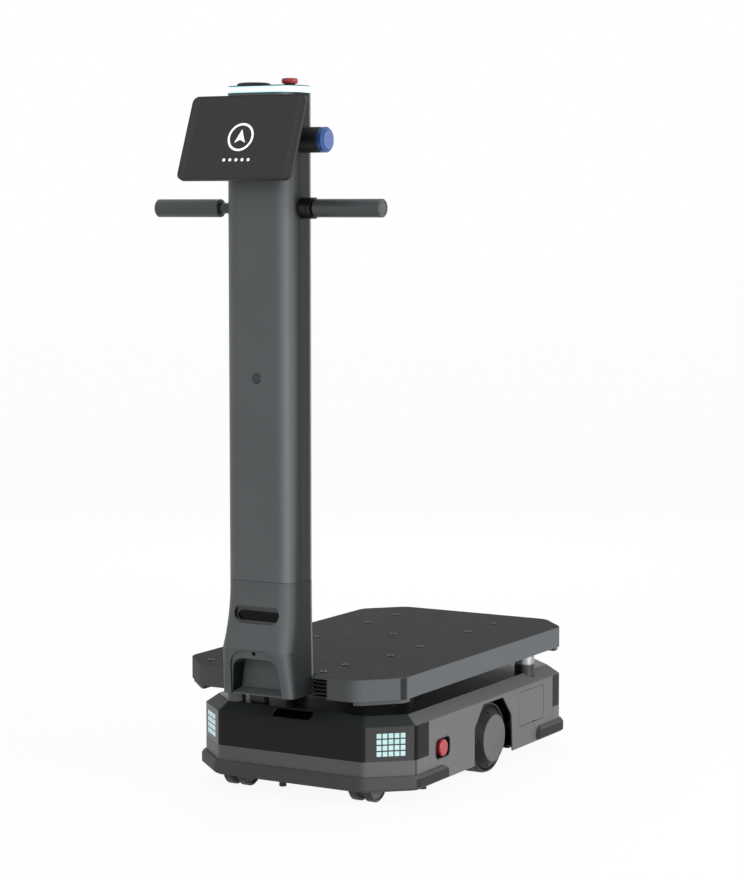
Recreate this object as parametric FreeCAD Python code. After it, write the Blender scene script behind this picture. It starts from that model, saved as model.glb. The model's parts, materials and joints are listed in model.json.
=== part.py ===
import FreeCAD, Part
import math
import os
from FreeCAD import Vector

# Column-handle autonomous mobile robot: a low wheeled base, a load deck on four posts, and a
# column at the front that carries the screen, the handle bar and the controls.
# Millimetres, +Z up. The origin is on the floor under the middle of the overall length and
# width; the column and screen face -Y, and X = 0 is the plane of symmetry.

# ---- driving dimensions ------------------------------------------------------------------
OVERALL_LENGTH = 956.0
OVERALL_HEIGHT = 1350.0
BODY_WIDTH = 473.0
DECK_WIDTH = 477.0
BODY_SETBACK, DECK_SETBACK, COLUMN_SETBACK = 190.0, 141.0, 122.0

# base body
BUMPER_OUT = 9.0
WALL = 3.0
SEAM = 0.4
BODY_CHAMFER_X, BODY_CHAMFER_Y = 76.0, 69.0
BODY_CORNER_R = 16.0
Z_BODY_BOTTOM = 27.5
Z_BUMPER_BOTTOM, Z_BUMPER_TOP = 30.5, 56.5
Z_BAND_TOP = 85.0
Z_PANEL_TOP = 150.5
Z_COVER_TOP = 168.0
SHOULDER_IN = 24.0
FRONT_WRAP, REAR_WRAP = 49.3, 35.0
FRONT_BUMPER_REACH, REAR_BUMPER_REACH = 183.5, 180.0
BUMPER_BEVEL = 6.0

# deck
Z_DECK_TOP = 249.0
DECK_SKIRT = 41.5
DECK_TOP_THICKNESS = 4.0
DECK_REAR_GAP = 8.0
DECK_CHAMFER_X, DECK_CHAMFER_Y = 69.0, 72.0
DECK_CORNER_R = 38.0
DECK_HOLE_R = 3.0
DECK_HOLE_X, DECK_HOLE_SHIFT = -16.5, 74.5
DECK_PITCH_X, DECK_PITCH_Y, DECK_INNER_PITCH_Y = 236.0, 438.0, 204.0
FRONT_HOLE_XS, FRONT_HOLE_REACHES = (-176.5, 75.5), (49.0, 131.0)
NOTCH_SKIRT_X = 112.0

# column, foot and head
COLUMN_WIDTH, COLUMN_DEPTH = 150.0, 86.0
COLUMN_R_FRONT, COLUMN_R_REAR = 34.0, 22.0
COLUMN_WALL = 3.0
Z_FOOT_BOTTOM, Z_FOOT_TOP = 215.0, 429.0
Z_COLUMN_TOP = 1324.0
LIGHT_RING_H, TOP_CAP_H = 11.0, 2.0
TOP_ESTOP_X = 47.0
SCREEN_W, SCREEN_H, SCREEN_T = 242.0, 163.0, 11.0
SCREEN_TILT = 21.5
SCREEN_CENTRE_Z = 1242.0
HANDLE_Z = 1114.8
ROD_R, GRIP_R = 10.0, 16.8
GRIP_IN, GRIP_OUT = 102.0, 243.0
BUTTON_Z, BUTTON_R = 1238.0, 23.3
RUN_CLEARANCE = 0.05

# running gear
WHEEL_R, WHEEL_SHIFT = 70.5, 1.0
WHEEL_IN, WHEEL_OUT = 184.0, 228.0
TREAD_T, SHOULDER_W = 5.0, 7.0
AXLE_R = 8.5
ARM_L, ARM_T, ARM_X = 103.5, 13.0, 159.0
CASTER_X, CASTER_FRONT_IN, CASTER_REAR_IN = 140.0, 73.0, 69.0
CASTER_TRAIL = 21.0
CASTER_R, CASTER_W, CASTER_PITCH = 33.0, 20.0, 31.0
SWING_MARGIN = 3.0
Z_RAIL_BOTTOM, Z_RAIL_TOP = 104.0, 134.0
POST_R = 20.5

# ---- places worked out from them ---------------------------------------------------------
Y_REAR = OVERALL_LENGTH / 2
Y_FRONT = -OVERALL_LENGTH / 2
BODY_REAR = Y_REAR - BUMPER_OUT
BODY_FRONT = Y_FRONT + BODY_SETBACK
DECK_REAR = Y_REAR - DECK_REAR_GAP
DECK_FRONT = Y_FRONT + DECK_SETBACK
COLUMN_Y = Y_FRONT + COLUMN_SETBACK
Z_DECK_BOTTOM = Z_DECK_TOP - DECK_SKIRT
SIDE_FRONT = BODY_FRONT + BODY_CHAMFER_Y + FRONT_WRAP
SIDE_REAR = BODY_REAR - BODY_CHAMFER_Y - REAR_WRAP
WHEEL_Y = (BODY_FRONT + BODY_REAR) / 2 + WHEEL_SHIFT
ARM_PIVOT_Y = WHEEL_Y - ARM_L
HUB_R = WHEEL_R - TREAD_T
HALF_BODY = BODY_WIDTH / 2
Z_AXLE = WHEEL_R
COLUMN_FRONT = COLUMN_Y - COLUMN_DEPTH / 2
COLUMN_BACK = COLUMN_Y + COLUMN_DEPTH / 2
HALF_COLUMN = COLUMN_WIDTH / 2
Z_CAP_TOP = Z_COLUMN_TOP + LIGHT_RING_H + TOP_CAP_H
FAR = 2000.0
X_AXIS, Y_AXIS, Z_AXIS = Vector(1, 0, 0), Vector(0, 1, 0), Vector(0, 0, 1)


# ---- shape helpers -----------------------------------------------------------------------
def box(x0, x1, y0, y1, z0, z1):
    return Part.makeBox(x1 - x0, y1 - y0, z1 - z0, Vector(x0, y0, z0))


def rod(radius, start, end):
    return Part.makeCylinder(radius, (end - start).Length, start, end - start)


def rounded_wire(points, radii):
    """Closed wire through planar points; each corner is an arc of its own radius."""
    count = len(points)
    corners = []
    for i, point in enumerate(points):
        radius = radii[i] if isinstance(radii, (list, tuple)) else radii
        before = (points[i - 1] - point).normalize()
        after = (points[(i + 1) % count] - point).normalize()
        if radius <= 0:
            corners.append((point, None, point))
            continue
        half = before.getAngle(after) / 2
        reach = radius / math.tan(half)
        middle = (before + after).normalize() * (radius / math.sin(half) - radius)
        corners.append((point + before * reach, point + middle, point + after * reach))
    edges = []
    for i, (start, middle, end) in enumerate(corners):
        if middle is not None:
            edges.append(Part.Arc(start, middle, end).toShape())
        following = corners[(i + 1) % count][0]
        if end.distanceToPoint(following) > 1e-6:
            edges.append(Part.makeLine(end, following))
    return Part.Wire(edges)


def prism(outline, radii, z0, z1):
    """Upright solid from an XY outline."""
    wire = rounded_wire([Vector(x, y, z0) for x, y in outline], radii)
    return Part.Face(wire).extrude(Vector(0, 0, z1 - z0))


def side_prism(outline, radii, x0, x1):
    """Solid from a YZ outline, extruded along X."""
    wire = rounded_wire([Vector(x0, y, z) for y, z in outline], radii)
    return Part.Face(wire).extrude(Vector(x1 - x0, 0, 0))


def front_prism(outline, radii, y0, y1):
    """Solid from an XZ outline, extruded along Y."""
    wire = rounded_wire([Vector(x, y0, z) for x, z in outline], radii)
    return Part.Face(wire).extrude(Vector(0, y1 - y0, 0))


def loft(sections):
    """Ruled solid through (outline, radius, z) sections with like corners."""
    wires = [rounded_wire([Vector(x, y, z) for x, y in outline], radii)
             for outline, radii, z in sections]
    return Part.makeLoft(wires, True, True)


def revolve(profile, centre, axis, radial, radii=0.0):
    """Full turn of a closed (radius, along) profile about an axis through centre."""
    points = [centre + radial * r + axis * a for r, a in profile]
    return Part.Face(rounded_wire(points, radii)).revolve(centre, axis, 360)


def rect(x0, x1, y0, y1):
    return [(x0, y0), (x1, y0), (x1, y1), (x0, y1)]


def mirrored(shape):
    return shape.mirror(Vector(0, 0, 0), X_AXIS)


def octagon(half_x, front, rear, chamfer_x, chamfer_y, inset=0.0):
    """Chamfered rectangle, pulled in by the same distance all round."""
    slant = math.hypot(chamfer_x, chamfer_y)
    cx = chamfer_x - inset * (1 + (chamfer_x - slant) / chamfer_y)
    cy = chamfer_y - inset * (1 + (chamfer_y - slant) / chamfer_x)
    x, y0, y1 = half_x - inset, front + inset, rear - inset
    return [(-x + cx, y0), (x - cx, y0), (x, y0 + cy), (x, y1 - cy),
            (x - cx, y1), (-x + cx, y1), (-x, y1 - cy), (-x, y0 + cy)]


def body_outline(inset=0.0):
    return octagon(HALF_BODY, BODY_FRONT, BODY_REAR, BODY_CHAMFER_X, BODY_CHAMFER_Y, inset)


def deck_outline(inset=0.0):
    return octagon(DECK_WIDTH / 2, DECK_FRONT, DECK_REAR, DECK_CHAMFER_X, DECK_CHAMFER_Y, inset)


def column_outline(inset=0.0):
    x = HALF_COLUMN - inset
    outline = rect(-x, x, COLUMN_FRONT + inset, COLUMN_BACK - inset)
    front, rear = COLUMN_R_FRONT - inset, COLUMN_R_REAR - inset
    return outline, [front, front, rear, rear]


def column_prism(inset, z0, z1):
    outline, radii = column_outline(inset)
    return prism(outline, radii, z0, z1)


def body_ring(z0, z1):
    outer = prism(body_outline(), BODY_CORNER_R, z0, z1)
    return outer.cut(prism(body_outline(WALL), BODY_CORNER_R - WALL, z0, z1))


# ---- base: frame, panels, cover ----------------------------------------------------------
FLOOR_BOTTOM, FLOOR_TOP = 34.0, 38.0
FLOOR_INSET = WALL + 0.3
RAIL_X, RAIL_W = 125.0, 40.0
CROSS_W, CROSS_REACH = 50.0, 215.0
LEG_YS, LEG_W, LEG_L = (WHEEL_Y - 201.5, WHEEL_Y + 98.5), 10.0, 40.0
BRACKET_R = 24.0
CASTER_FRONT_Y, CASTER_REAR_Y = BODY_FRONT + CASTER_FRONT_IN, BODY_REAR - CASTER_REAR_IN
FRONT_CROSS_Y = BODY_FRONT + 45.0
PIVOT_CROSS_Y = ARM_PIVOT_Y - 48.0
REAR_POST_Y = BODY_REAR - 172.0
POST_PLACES = [(RAIL_X, PIVOT_CROSS_Y), (-RAIL_X, PIVOT_CROSS_Y), (205.0, REAR_POST_Y), (-205.0, REAR_POST_Y)]
CROSS_YS = [FRONT_CROSS_Y, PIVOT_CROSS_Y, REAR_POST_Y, CASTER_REAR_Y]
WELL_IN, WELL_MARGIN = 150.0, 9.0
BODY_BACK_RAIL = BODY_REAR - WALL - 12.0
PIVOT_R, BUSH_R = 7.0, 12.0
PLATE_X0, PLATE_X1 = 146.0, 154.0
CASTER_PLACES = {"front_left": (-CASTER_X, CASTER_FRONT_Y), "front_right": (CASTER_X, CASTER_FRONT_Y),
                 "rear_left": (-CASTER_X, CASTER_REAR_Y), "rear_right": (CASTER_X, CASTER_REAR_Y)}
CASTER_SWING_R = math.hypot(CASTER_TRAIL + CASTER_R, (CASTER_PITCH + CASTER_W) / 2) + SWING_MARGIN


def chassis_frame():
    """Welded steel ladder frame with its floor pan, legs and wheel-arm pivot brackets."""
    floor = prism(body_outline(FLOOR_INSET), BODY_CORNER_R - FLOOR_INSET, FLOOR_BOTTOM, FLOOR_TOP)
    parts = []
    for side in (-1, 1):
        x0, x1 = sorted((side * WELL_IN, side * FAR))
        reach = WHEEL_R + WELL_MARGIN
        floor = floor.cut(box(x0, x1, WHEEL_Y - reach, WHEEL_Y + reach, 0, FAR))
        rail_in = side * RAIL_X - RAIL_W / 2
        parts.append(box(rail_in, rail_in + RAIL_W, CROSS_YS[0], BODY_BACK_RAIL,
                         Z_RAIL_BOTTOM, Z_RAIL_TOP))
        leg = side * (RAIL_X - RAIL_W / 2 + LEG_W / 2)
        for y in LEG_YS:
            parts.append(box(leg - LEG_W / 2, leg + LEG_W / 2, y - LEG_L / 2, y + LEG_L / 2,
                             FLOOR_TOP, Z_RAIL_BOTTOM))
        x0, x1 = sorted((side * PLATE_X0, side * PLATE_X1))
        bracket = side_prism(rect(ARM_PIVOT_Y - BRACKET_R, ARM_PIVOT_Y + BRACKET_R,
                                  Z_AXLE - BRACKET_R, Z_RAIL_TOP), [20, 20, 2, 2], x0, x1)
        parts.append(bracket)
        pin_in, pin_out = side * PLATE_X0, side * (ARM_X + ARM_T + 2)
        parts.append(rod(PIVOT_R, Vector(pin_in, ARM_PIVOT_Y, Z_AXLE),
                         Vector(pin_out, ARM_PIVOT_Y, Z_AXLE)))
    for x, y in CASTER_PLACES.values():
        floor = floor.cut(rod(CASTER_SWING_R, Vector(x, y, 0), Vector(x, y, FAR)))
    for y in CROSS_YS:
        reach = PLATE_X0 + 1 if y == PIVOT_CROSS_Y else CROSS_REACH
        parts.append(box(-reach, reach, y - CROSS_W / 2, y + CROSS_W / 2,
                         Z_RAIL_BOTTOM, Z_RAIL_TOP))
    frame = floor.multiFuse(parts).common(
        prism(body_outline(FLOOR_INSET), BODY_CORNER_R - FLOOR_INSET, 0, FAR))
    for x, y in CASTER_PLACES.values():
        for bolt_x, bolt_y in caster_bolts(x, y):
            frame = frame.cut(rod(CASTER_BOLT_R, Vector(bolt_x, bolt_y, 0),
                                  Vector(bolt_x, bolt_y, FAR)))
    return frame.removeSplitter()


COVER_RING_X, COVER_RING_Y, COVER_RING_R = 163.0, BODY_FRONT + 128.0, 9.0


def top_cover():
    """Moulded top with sloping shoulders, open under, with post holes and the sensor slot."""
    outer = loft([(body_outline(), BODY_CORNER_R, Z_PANEL_TOP),
                  (body_outline(SHOULDER_IN), 8.0, Z_COVER_TOP)])
    inner = loft([(body_outline(WALL + 1), BODY_CORNER_R - WALL - 1, Z_PANEL_TOP),
                  (body_outline(SHOULDER_IN + 3), 6.0, Z_COVER_TOP - WALL)])
    cover = outer.cut(inner)
    for x, y in POST_PLACES:
        cover = cover.cut(rod(POST_R + 0.5, Vector(x, y, Z_PANEL_TOP), Vector(x, y, FAR)))
    for side in (-1, 1):
        x, y = side * COVER_RING_X, COVER_RING_Y
        ring = rod(COVER_RING_R, Vector(x, y, Z_COVER_TOP - 1), Vector(x, y, Z_COVER_TOP + 1))
        cover = cover.cut(ring.cut(rod(COVER_RING_R - 1.5, Vector(x, y, 0), Vector(x, y, FAR))))
    return cover.cut(window_slot(0.0, 10.0))


WINDOW_W, WINDOW_H, WINDOW_R = 85.0, 23.0, 8.0
SLOPE_RISE = Z_COVER_TOP - Z_PANEL_TOP
SLOPE_ANGLE = math.degrees(math.atan2(SLOPE_RISE, SHOULDER_IN))


def window_slot(grow, depth, sunk=0.0):
    """Rounded body square to the front shoulder, from sunk below its skin to depth below."""
    half, r = WINDOW_W / 2 + grow, WINDOW_H / 2 + grow
    wire = rounded_wire([Vector(x, y, -sunk) for x, y in rect(-half, half, -r, r)], WINDOW_R + grow)
    solid = Part.Face(wire).extrude(Vector(0, 0, sunk - depth))
    solid.rotate(Vector(0, 0, 0), X_AXIS, SLOPE_ANGLE)
    solid.translate(Vector(0, BODY_FRONT + SHOULDER_IN / 2, Z_PANEL_TOP + SLOPE_RISE / 2))
    return solid


def front_sensor_window():
    return window_slot(-0.1, 4.0, sunk=1.5).common(inside_body(Z_PANEL_TOP))


def inside_body(z0):
    return prism(body_outline(WALL), BODY_CORNER_R - WALL, z0, FAR)


ARCH_FRONT, ARCH_REAR, ARCH_REAR_LOW = WHEEL_Y - 74.2, WHEEL_Y + 85.0, WHEEL_Y + 91.1
ARCH_SIDE_Z, ARCH_TOP_Z = Z_AXLE + 32.5, Z_AXLE + 73.2
ARCH = [(ARCH_REAR_LOW, Z_BODY_BOTTOM - 1), (ARCH_REAR, ARCH_SIDE_Z), (ARCH_REAR - 38.0, ARCH_TOP_Z),
        (ARCH_FRONT + 36.1, ARCH_TOP_Z), (ARCH_FRONT, ARCH_SIDE_Z), (ARCH_FRONT, Z_BODY_BOTTOM - 1)]
ESTOP_Y, ESTOP_Z = BODY_FRONT + 173.7, 89.5
ESTOP_CUP_W, ESTOP_CUP_H, ESTOP_CUP_DEPTH = 59.0, 40.0, 24.0
DOOR_Y0, DOOR_Y1, DOOR_Z0, DOOR_Z1 = BODY_REAR - 260.0, BODY_REAR - 145.7, 69.8, 140.5
DOOR_R, DOOR_GAP, DOOR_EDGE_R = 8.0, 0.6, 1.0
DOOR_PIVOT_DROP, DOOR_PIN_R, DOOR_PIN_L = 5.0, 1.0, 2.0
NOTCH_REACH, NOTCH_W = 67.0, 14.0
BAY_DEPTH = 10.2
SOCKET_Y, SOCKET_R = DOOR_Y0 + 30.3, 15.0


def estop_opening(grow, depth):
    half_w, half_h = ESTOP_CUP_W / 2 + grow, ESTOP_CUP_H / 2 + grow
    outline = rect(ESTOP_Y - half_w, ESTOP_Y + half_w, ESTOP_Z - half_h, ESTOP_Z + half_h)
    return side_prism(outline, 12.0 + grow, HALF_BODY - depth, HALF_BODY)


def side_panel(with_door):
    """Right side panel: wheel arch, emergency-stop opening and, on one side, the door bay."""
    panel = body_ring(Z_BODY_BOTTOM, Z_PANEL_TOP)
    panel = panel.common(box(0, FAR, SIDE_FRONT, SIDE_REAR, 0, FAR))
    panel = panel.cut(side_prism(ARCH, [0, 12, 6, 6, 12, 0], 0, FAR))
    panel = panel.cut(estop_opening(0.0, 10.0))
    if with_door:
        opening = rect(DOOR_Y0, DOOR_Y1, DOOR_Z0, DOOR_Z1)
        skin = HALF_BODY - BAY_DEPTH
        tray = side_prism(rect(DOOR_Y0 - 2, DOOR_Y1 + 2, DOOR_Z0 - 2, DOOR_Z1 + 2), DOOR_R + 2,
                          skin, HALF_BODY - WALL / 2)
        panel = panel.fuse(tray)
        panel = panel.cut(side_prism(opening, DOOR_R, skin + 2, FAR))
        z = (DOOR_Z0 + DOOR_Z1) / 2
        panel = panel.cut(rod(SOCKET_R, Vector(skin - 1, SOCKET_Y, z), Vector(skin + 3, SOCKET_Y, z)))
        for start, end in door_pivots(DOOR_PIN_L + 0.4):
            panel = panel.cut(rod(DOOR_PIN_R + RUN_CLEARANCE, start, end))
    return panel.removeSplitter()


def door_pivots(reach):
    """Start and end of the door's two pivots, along the axis inside its leaf near the top."""
    z, drop = DOOR_Z1 - DOOR_PIVOT_DROP, DOOR_R - DOOR_PIVOT_DROP
    edge = DOOR_R - math.sqrt(DOOR_R ** 2 - drop ** 2)
    x = HALF_BODY - WALL / 2
    return [(Vector(x, y + way * 3, z), Vector(x, y - way * reach, z))
            for y, way in ((DOOR_Y0 + edge, 1), (DOOR_Y1 - edge, -1))]


def service_door():
    """Moulded flap with a finger notch; a pin at each end near the top carries it."""
    leaf = side_prism(rect(DOOR_Y0 + DOOR_GAP, DOOR_Y1 - DOOR_GAP,
                           DOOR_Z0 + DOOR_GAP, DOOR_Z1 - DOOR_GAP),
                      DOOR_R - DOOR_GAP, HALF_BODY - WALL, HALF_BODY)
    rim = [edge for edge in leaf.Edges if edge.BoundBox.XMin > HALF_BODY - 0.01]
    leaf = leaf.makeFillet(DOOR_EDGE_R, rim)
    middle, notch_y = (DOOR_Y0 + DOOR_Y1) / 2, DOOR_Y0 + NOTCH_REACH
    notch = side_prism(rect(notch_y - NOTCH_W / 2, notch_y + NOTCH_W / 2, DOOR_Z0 - 4, DOOR_Z0 + 3),
                       [0, 0, 2, 2], HALF_BODY - 2, FAR)
    stiffener = side_prism(rect(middle - 40, middle + 40, DOOR_Z0 + 14, DOOR_Z1 - 14), 6,
                           HALF_BODY - WALL - 2, HALF_BODY - WALL)
    pins = [rod(DOOR_PIN_R, start, end) for start, end in door_pivots(DOOR_PIN_L)]
    return leaf.fuse(stiffener).cut(notch).multiFuse(pins)


def charging_socket():
    """Round panel socket: its flange on the floor of the door bay, its barrel behind it."""
    z = (DOOR_Z0 + DOOR_Z1) / 2
    floor = HALF_BODY - BAY_DEPTH + 2
    flange = side_prism(rect(SOCKET_Y - 19, SOCKET_Y + 19, z - 19, z + 19), 5, floor, floor + 2)
    barrel = rod(SOCKET_R, Vector(floor - 20, SOCKET_Y, z), Vector(floor + 1, SOCKET_Y, z))
    bore = rod(SOCKET_R - 2.5, Vector(floor - 17, SOCKET_Y, z), Vector(floor + 3, SOCKET_Y, z))
    socket = flange.fuse(barrel).cut(bore)
    for angle in (90, 210, 330):
        a = math.radians(angle)
        foot = Vector(floor - 18, SOCKET_Y + 6.5 * math.cos(a), z + 6.5 * math.sin(a))
        socket = socket.fuse(rod(2.0, foot, foot + Vector(13, 0, 0)))
    return socket


def skirt(front):
    """Lower end band of the body, between the two side panels."""
    cut_y = SIDE_FRONT - SEAM if front else SIDE_REAR + SEAM
    keep = box(-FAR, FAR, -FAR, cut_y, 0, FAR) if front else box(-FAR, FAR, cut_y, FAR, 0, FAR)
    return body_ring(Z_BODY_BOTTOM, Z_BAND_TOP).common(keep)


CELL, CELL_PITCH = 9.0, 11.5
CELL_ALONG, CELL_Z = 54.0, 116.5


def cell_solids(front_y, direction, grow, depth):
    """Square cells on the two chamfers of one end; direction is +1 at the front."""
    along = Vector(BODY_CHAMFER_X, direction * BODY_CHAMFER_Y, 0).normalize()
    inward = Vector(-along.y, along.x, 0) * direction
    start = Vector(HALF_BODY - BODY_CHAMFER_X, front_y, 0)
    solids = []
    for column in range(5):
        for row in range(4):
            u = CELL_ALONG + (column - 2) * CELL_PITCH
            z = CELL_Z + (row - 1.5) * CELL_PITCH
            half = CELL / 2 + grow
            corners = [start + along * (u + du) + Vector(0, 0, z + dz)
                       for du, dz in ((-half, -half), (half, -half), (half, half), (-half, half))]
            face = Part.Face(Part.makePolygon(corners + corners[:1]))
            cell = face.extrude(inward * depth)
            solids += [cell, mirrored(cell)]
    return solids


def light_panel(front):
    """Glossy black end panel that wraps onto both sides, pierced for the light cells."""
    cut_y = SIDE_FRONT - SEAM if front else SIDE_REAR + SEAM
    keep = box(-FAR, FAR, -FAR, cut_y, 0, FAR) if front else box(-FAR, FAR, cut_y, FAR, 0, FAR)
    panel = body_ring(Z_BAND_TOP, Z_PANEL_TOP).common(keep)
    cells = cell_solids(BODY_FRONT, 1, 0.0, 10.0) if front else cell_solids(BODY_REAR, -1, 0.0, 10.0)
    return panel.cut(Part.makeCompound(cells))


def corner_light_cells():
    return cell_solids(BODY_FRONT, 1, 0.0, 3.0) + cell_solids(BODY_REAR, -1, 0.0, 3.0)


def bumper(front):
    """Rubber bumper strip round one end, bevelled on top, its ends rounded on the sides."""
    straight = prism(body_outline(-BUMPER_OUT), BODY_CORNER_R + BUMPER_OUT,
                     Z_BUMPER_BOTTOM + 3, Z_BUMPER_TOP - BUMPER_BEVEL)
    bevel = loft([(body_outline(-BUMPER_OUT), BODY_CORNER_R + BUMPER_OUT, Z_BUMPER_TOP - BUMPER_BEVEL),
                  (body_outline(-BUMPER_OUT / 2), BODY_CORNER_R + BUMPER_OUT / 2, Z_BUMPER_TOP)])
    under = loft([(body_outline(3 - BUMPER_OUT), BODY_CORNER_R + BUMPER_OUT - 3, Z_BUMPER_BOTTOM),
                  (body_outline(-BUMPER_OUT), BODY_CORNER_R + BUMPER_OUT, Z_BUMPER_BOTTOM + 3)])
    strip = straight.multiFuse([bevel, under])
    strip = strip.cut(prism(body_outline(), BODY_CORNER_R, 0, FAR))
    end = BODY_FRONT + FRONT_BUMPER_REACH if front else BODY_REAR - REAR_BUMPER_REACH
    far = -FAR if front else FAR
    profile = [(far, Z_BUMPER_BOTTOM), (end, Z_BUMPER_BOTTOM), (end, Z_BUMPER_TOP), (far, Z_BUMPER_TOP)]
    return strip.common(side_prism(profile, [0, 5, 15, 0], -FAR, FAR)).removeSplitter()


# ---- emergency stops ---------------------------------------------------------------------
STOP_TRAVEL = 4.0
STOP_HEAD_R, STOP_STEM_R, STOP_COLLAR_R = 16.2, 6.0, 13.0
COLLAR_H, HEAD_H, HEAD_GAP = 5.0, 15.5, STOP_TRAVEL + 1.0
CUP_FLOOR = 2.0


def stop_collar(base, axis, radial):
    profile = [(STOP_STEM_R + RUN_CLEARANCE, 0), (STOP_COLLAR_R, 0), (STOP_COLLAR_R, COLLAR_H - 1),
               (STOP_COLLAR_R - 1, COLLAR_H), (STOP_STEM_R + RUN_CLEARANCE, COLLAR_H)]
    return revolve(profile, base, axis, radial)


def stop_head(base, axis, radial):
    """Mushroom head on its stem; base is where the collar stands."""
    low, r = COLLAR_H + HEAD_GAP, STOP_HEAD_R
    profile = [(0, 0), (STOP_STEM_R, 0), (STOP_STEM_R, low), (r - 3, low), (r, low + 4),
               (r, low + HEAD_H - 3), (r - 1, low + HEAD_H - 1), (r - 3, low + HEAD_H),
               (0, low + HEAD_H)]
    return revolve(profile, base, axis, radial)


SIDE_STOP_X = HALF_BODY - ESTOP_CUP_DEPTH + CUP_FLOOR


def side_stop_base(side):
    return Vector(side * SIDE_STOP_X, ESTOP_Y, ESTOP_Z), Vector(side, 0, 0)


def estop_cup():
    """Black moulded cup let into the side panel, open outwards, bored for the stem."""
    cup = estop_opening(-0.1, ESTOP_CUP_DEPTH)
    inside = estop_opening(-0.1 - CUP_FLOOR, ESTOP_CUP_DEPTH - CUP_FLOOR)
    base, axis = side_stop_base(1)
    bore = rod(STOP_STEM_R + RUN_CLEARANCE, base - axis * (CUP_FLOOR + 1), base + axis)
    return cup.cut(inside).cut(bore)


TOP_STOP_TRAVEL = 2.5
TOP_STOP_GAP = TOP_STOP_TRAVEL + 0.5
TOP_STEM_R, TOP_HEAD_R, TOP_COLLAR_R, TOP_COLLAR_H = 5.0, 15.0, 10.0, 4.0


def top_stop_base():
    return Vector(TOP_ESTOP_X, COLUMN_Y, Z_CAP_TOP)


def top_estop_head():
    """Smaller push head over the cap; its skirt hides the collar and its top ends the height."""
    height, r = OVERALL_HEIGHT - Z_CAP_TOP, TOP_HEAD_R
    hollow = TOP_COLLAR_H + TOP_STOP_GAP
    profile = [(0, 0), (TOP_STEM_R, 0), (TOP_STEM_R, hollow), (TOP_COLLAR_R + 1, hollow),
               (TOP_COLLAR_R + 1, TOP_STOP_GAP), (r - 1.7, TOP_STOP_GAP), (r, TOP_STOP_GAP + 4),
               (r, height - 2.5), (r - 1, height - 0.7), (r - 3, height), (0, height)]
    return revolve(profile, top_stop_base(), Z_AXIS, X_AXIS)


def top_stop_collar():
    bore = TOP_STEM_R + RUN_CLEARANCE
    profile = [(bore, 0), (TOP_COLLAR_R, 0), (TOP_COLLAR_R, TOP_COLLAR_H), (bore, TOP_COLLAR_H)]
    return revolve(profile, top_stop_base(), Z_AXIS, X_AXIS)


# ---- drive wheels and their arms ---------------------------------------------------------
def wheel_centre(side, x=0.0):
    return Vector(side * x, WHEEL_Y, Z_AXLE)


def drive_tire(side):
    """Solid polyurethane tread with bevelled shoulders and a shallow centre groove."""
    w0, w1 = WHEEL_IN, WHEEL_OUT
    mid, wall = (w0 + w1) / 2, (WHEEL_R + HUB_R) / 2
    profile = [(HUB_R, w0 + 1), (wall - 1.5, w0), (wall, w0), (WHEEL_R, w0 + SHOULDER_W), (WHEEL_R, mid - 2),
               (WHEEL_R - 1.5, mid - 1), (WHEEL_R - 1.5, mid + 1), (WHEEL_R, mid + 2),
               (WHEEL_R, w1 - SHOULDER_W), (wall, w1), (wall - 1.5, w1), (HUB_R, w1 - 1)]
    radii = [0, 0, 0, 4, 0, 0, 0, 0, 4, 0, 0, 0]
    return revolve(profile, wheel_centre(side), Vector(side, 0, 0), Z_AXIS, radii)


HUB_FACE_X, HUB_CONE = 242.0, 19.5
RECESS_COUNT, RECESS_R, RECESS_DEPTH, RECESS_IN = 5, 4.2, 3.5, 9.5


def drive_hub(side):
    """Hub-motor shell: 45-degree outer cone round a flat face, sunk screw seats, bored inside."""
    w0, bore = WHEEL_IN, AXLE_R + RUN_CLEARANCE
    face_r, cone_x = HUB_R - HUB_CONE, HUB_FACE_X - HUB_CONE
    profile = [(bore, w0 - 3), (24, w0 - 3), (30, w0 + 3), (HUB_R - 0.05, w0 + 3), (HUB_R - 0.05, cone_x),
               (face_r, HUB_FACE_X), (0, HUB_FACE_X), (0, WHEEL_OUT - 2), (bore, WHEEL_OUT - 2)]
    hub = revolve(profile, wheel_centre(side), Vector(side, 0, 0), Z_AXIS, [0, 0, 0, 0, 0, 5, 0, 0, 0])
    for i in range(RECESS_COUNT):
        a = 2 * math.pi * i / RECESS_COUNT
        outward = Vector(0, -math.cos(a), math.sin(a))
        seat = wheel_centre(side, HUB_FACE_X - RECESS_IN) + outward * (face_r + RECESS_IN)
        slope = (outward + Vector(side, 0, 0)).normalize()
        hub = hub.cut(rod(RECESS_R, seat - slope * RECESS_DEPTH, seat + slope * 6))
    return hub


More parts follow.
